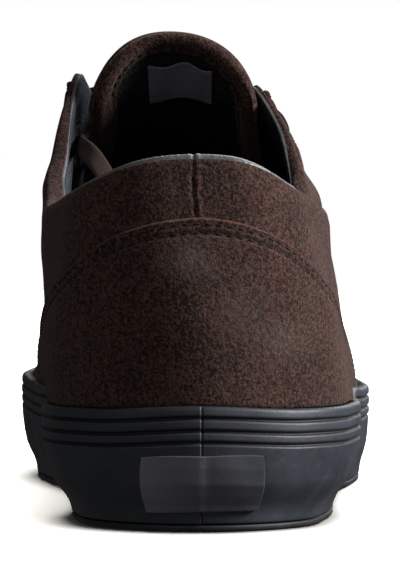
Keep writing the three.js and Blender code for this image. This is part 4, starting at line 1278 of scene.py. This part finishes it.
def lace_bar(k, y):
    on_stay = OVERLAY_LIFT + 0.4 + LACE_THICK / 2
    on_eyelet = on_stay + 0.8
    steps = (
        (EYELET_FROM_EDGE + 1.4, OVERLAY_LIFT - 0.1), (EYELET_FROM_EDGE + 0.1, on_stay + 0.1),
        (EYELET_FROM_EDGE - 2.6, on_eyelet), (EYELET_FROM_EDGE - 4.4, on_eyelet - 0.1),
        (EYESTAY_NEAR_EDGE, on_stay + 0.3),
    )

    def on_flap(side):
        t = throat_place(y, side)
        over_edge = skin(t, 1.0, -WALL / 2) + rib_tangent(t, 1.0) * (WALL / 2 + 1.05 + LACE_THICK)
        return [skin(t, rib_from_edge(t, distance), lift) for distance, lift in steps] + [over_edge]

    def slope(side):
        t, v = eyelet_seat(y, side)
        return unit(rib_point(t + 2e-3 * side, v) - rib_point(t - 2e-3 * side, v))

    outer, inner = on_flap(1), on_flap(-1)
    middles = []
    for share in (0.2, 0.35, 0.5, 0.65, 0.8):
        point = outer[-1] + (inner[-1] - outer[-1]) * share
        point[2] = max(point[2], float(tongue_top(point[0], y, 1.0 + LACE_THICK / 2)))
        middles.append(point)
    line = resample(catmull(outer + middles + inner[::-1], np.linspace(0, 1, 300)), 80)
    far = walk(line)
    share = far[:, None] / far[-1]
    middle = smooth(0.15, 0.4, share) - smooth(0.6, 0.85, share)
    ends = np.where(share < 0.5, slope(1), slope(-1))
    flat = ends * (1 - middle) + on_spine(spine_tangents, spine_at(y)) * middle
    pinch = 0.5 + 0.5 * smooth(0.5, 7.0, np.minimum(far, far[-1] - far))
    points, faces, uv = ribbon(line, flat, pinch)
    make_piece(f"lace_woven_{k}", points, faces, [LACE], uv=uv, node=f"lace_bar_{k}")


for number, row_y in enumerate(EYELET_ROWS, 1):
    eyelet(number, row_y, 1)
    eyelet(number, row_y, -1)
    lace_bar(number, row_y)

make_forms("seam_stitches", np.concatenate(threads.threads), THREAD)


# Floor, light and background
FLOOR_REACH = 30.0


def floor_sheet():
    mesh = bpy.data.meshes.new("floor")
    corners = [(x * FLOOR_REACH, y * FLOOR_REACH, 0) for x, y in ((-1, -1), (1, -1), (1, 1), (-1, 1))]
    mesh.from_pydata(corners, [], [(0, 1, 2, 3)])
    mesh.materials.append(Nodes("floor_paper").finish((0.93, 0.905, 0.86), 0.9))
    sheet = bpy.data.objects.new("floor", mesh)
    sheet.visible_diffuse = False
    sheet.visible_glossy = False
    bpy.context.scene.collection.objects.link(sheet)
    return sheet


def white_room(at_heel, at_toe):
    """White to the eye. As a light it is dim, and a little less so on the heel's side."""
    world = bpy.data.worlds.new("studio")
    bpy.context.scene.world = world
    world.use_nodes = True
    nodes, link = world.node_tree.nodes, world.node_tree.links.new
    back = nodes["Background"]
    back.inputs["Color"].default_value = (1, 1, 1, 1)
    coords = nodes.new("ShaderNodeTexCoord")
    split = nodes.new("ShaderNodeSeparateXYZ")
    glow = nodes.new("ShaderNodeMapRange")
    glow.interpolation_type = "SMOOTHSTEP"
    for k, value in ((1, -0.3), (2, 1.0), (3, at_heel), (4, at_toe)):
        glow.inputs[k].default_value = value
    path = nodes.new("ShaderNodeLightPath")
    strength = nodes.new("ShaderNodeMapRange")
    strength.inputs[4].default_value = 1.0
    link(coords.outputs["Generated"], split.inputs[0])
    link(split.outputs[1], glow.inputs[0])
    link(glow.outputs[0], strength.inputs[3])
    link(path.outputs["Is Camera Ray"], strength.inputs[0])
    link(strength.outputs[0], back.inputs["Strength"])


def sun(name, towards, strength, angle, colour=(1.0, 1.0, 1.0)):
    light = bpy.data.lights.new(name, "SUN")
    light.energy = strength
    light.angle = np.radians(angle)
    light.color = colour
    lamp = bpy.data.objects.new(name, light)
    lamp.rotation_euler = Vector(towards).to_track_quat("Z", "Y").to_euler()
    bpy.context.scene.collection.objects.link(lamp)
    return lamp


sheet = floor_sheet()
white_room(0.075, 0.05)
key = sun("key", (0.88, -0.145, 0.44), 5.6, 22, (1.0, 0.99, 0.985))
fill = sun("fill", (-0.15, -0.85, 0.45), 0.36, 50)
rim_light = sun("rim_light", (0.3, 0.8, 0.55), 1.2, 40)
floor_light = sun("floor_light", (0.16, 0.0, 1.0), 9.0, 62)
for lamp, state in ((key, "EXCLUDE"), (fill, "EXCLUDE"), (rim_light, "EXCLUDE"), (floor_light, "INCLUDE")):
    lit = bpy.data.collections.new(lamp.name + "_on")
    lit.objects.link(sheet)
    lit.collection_objects[0].light_linking.link_state = state
    lamp.light_linking.receiver_collection = lit
bpy.context.scene.view_settings.view_transform = "Standard"
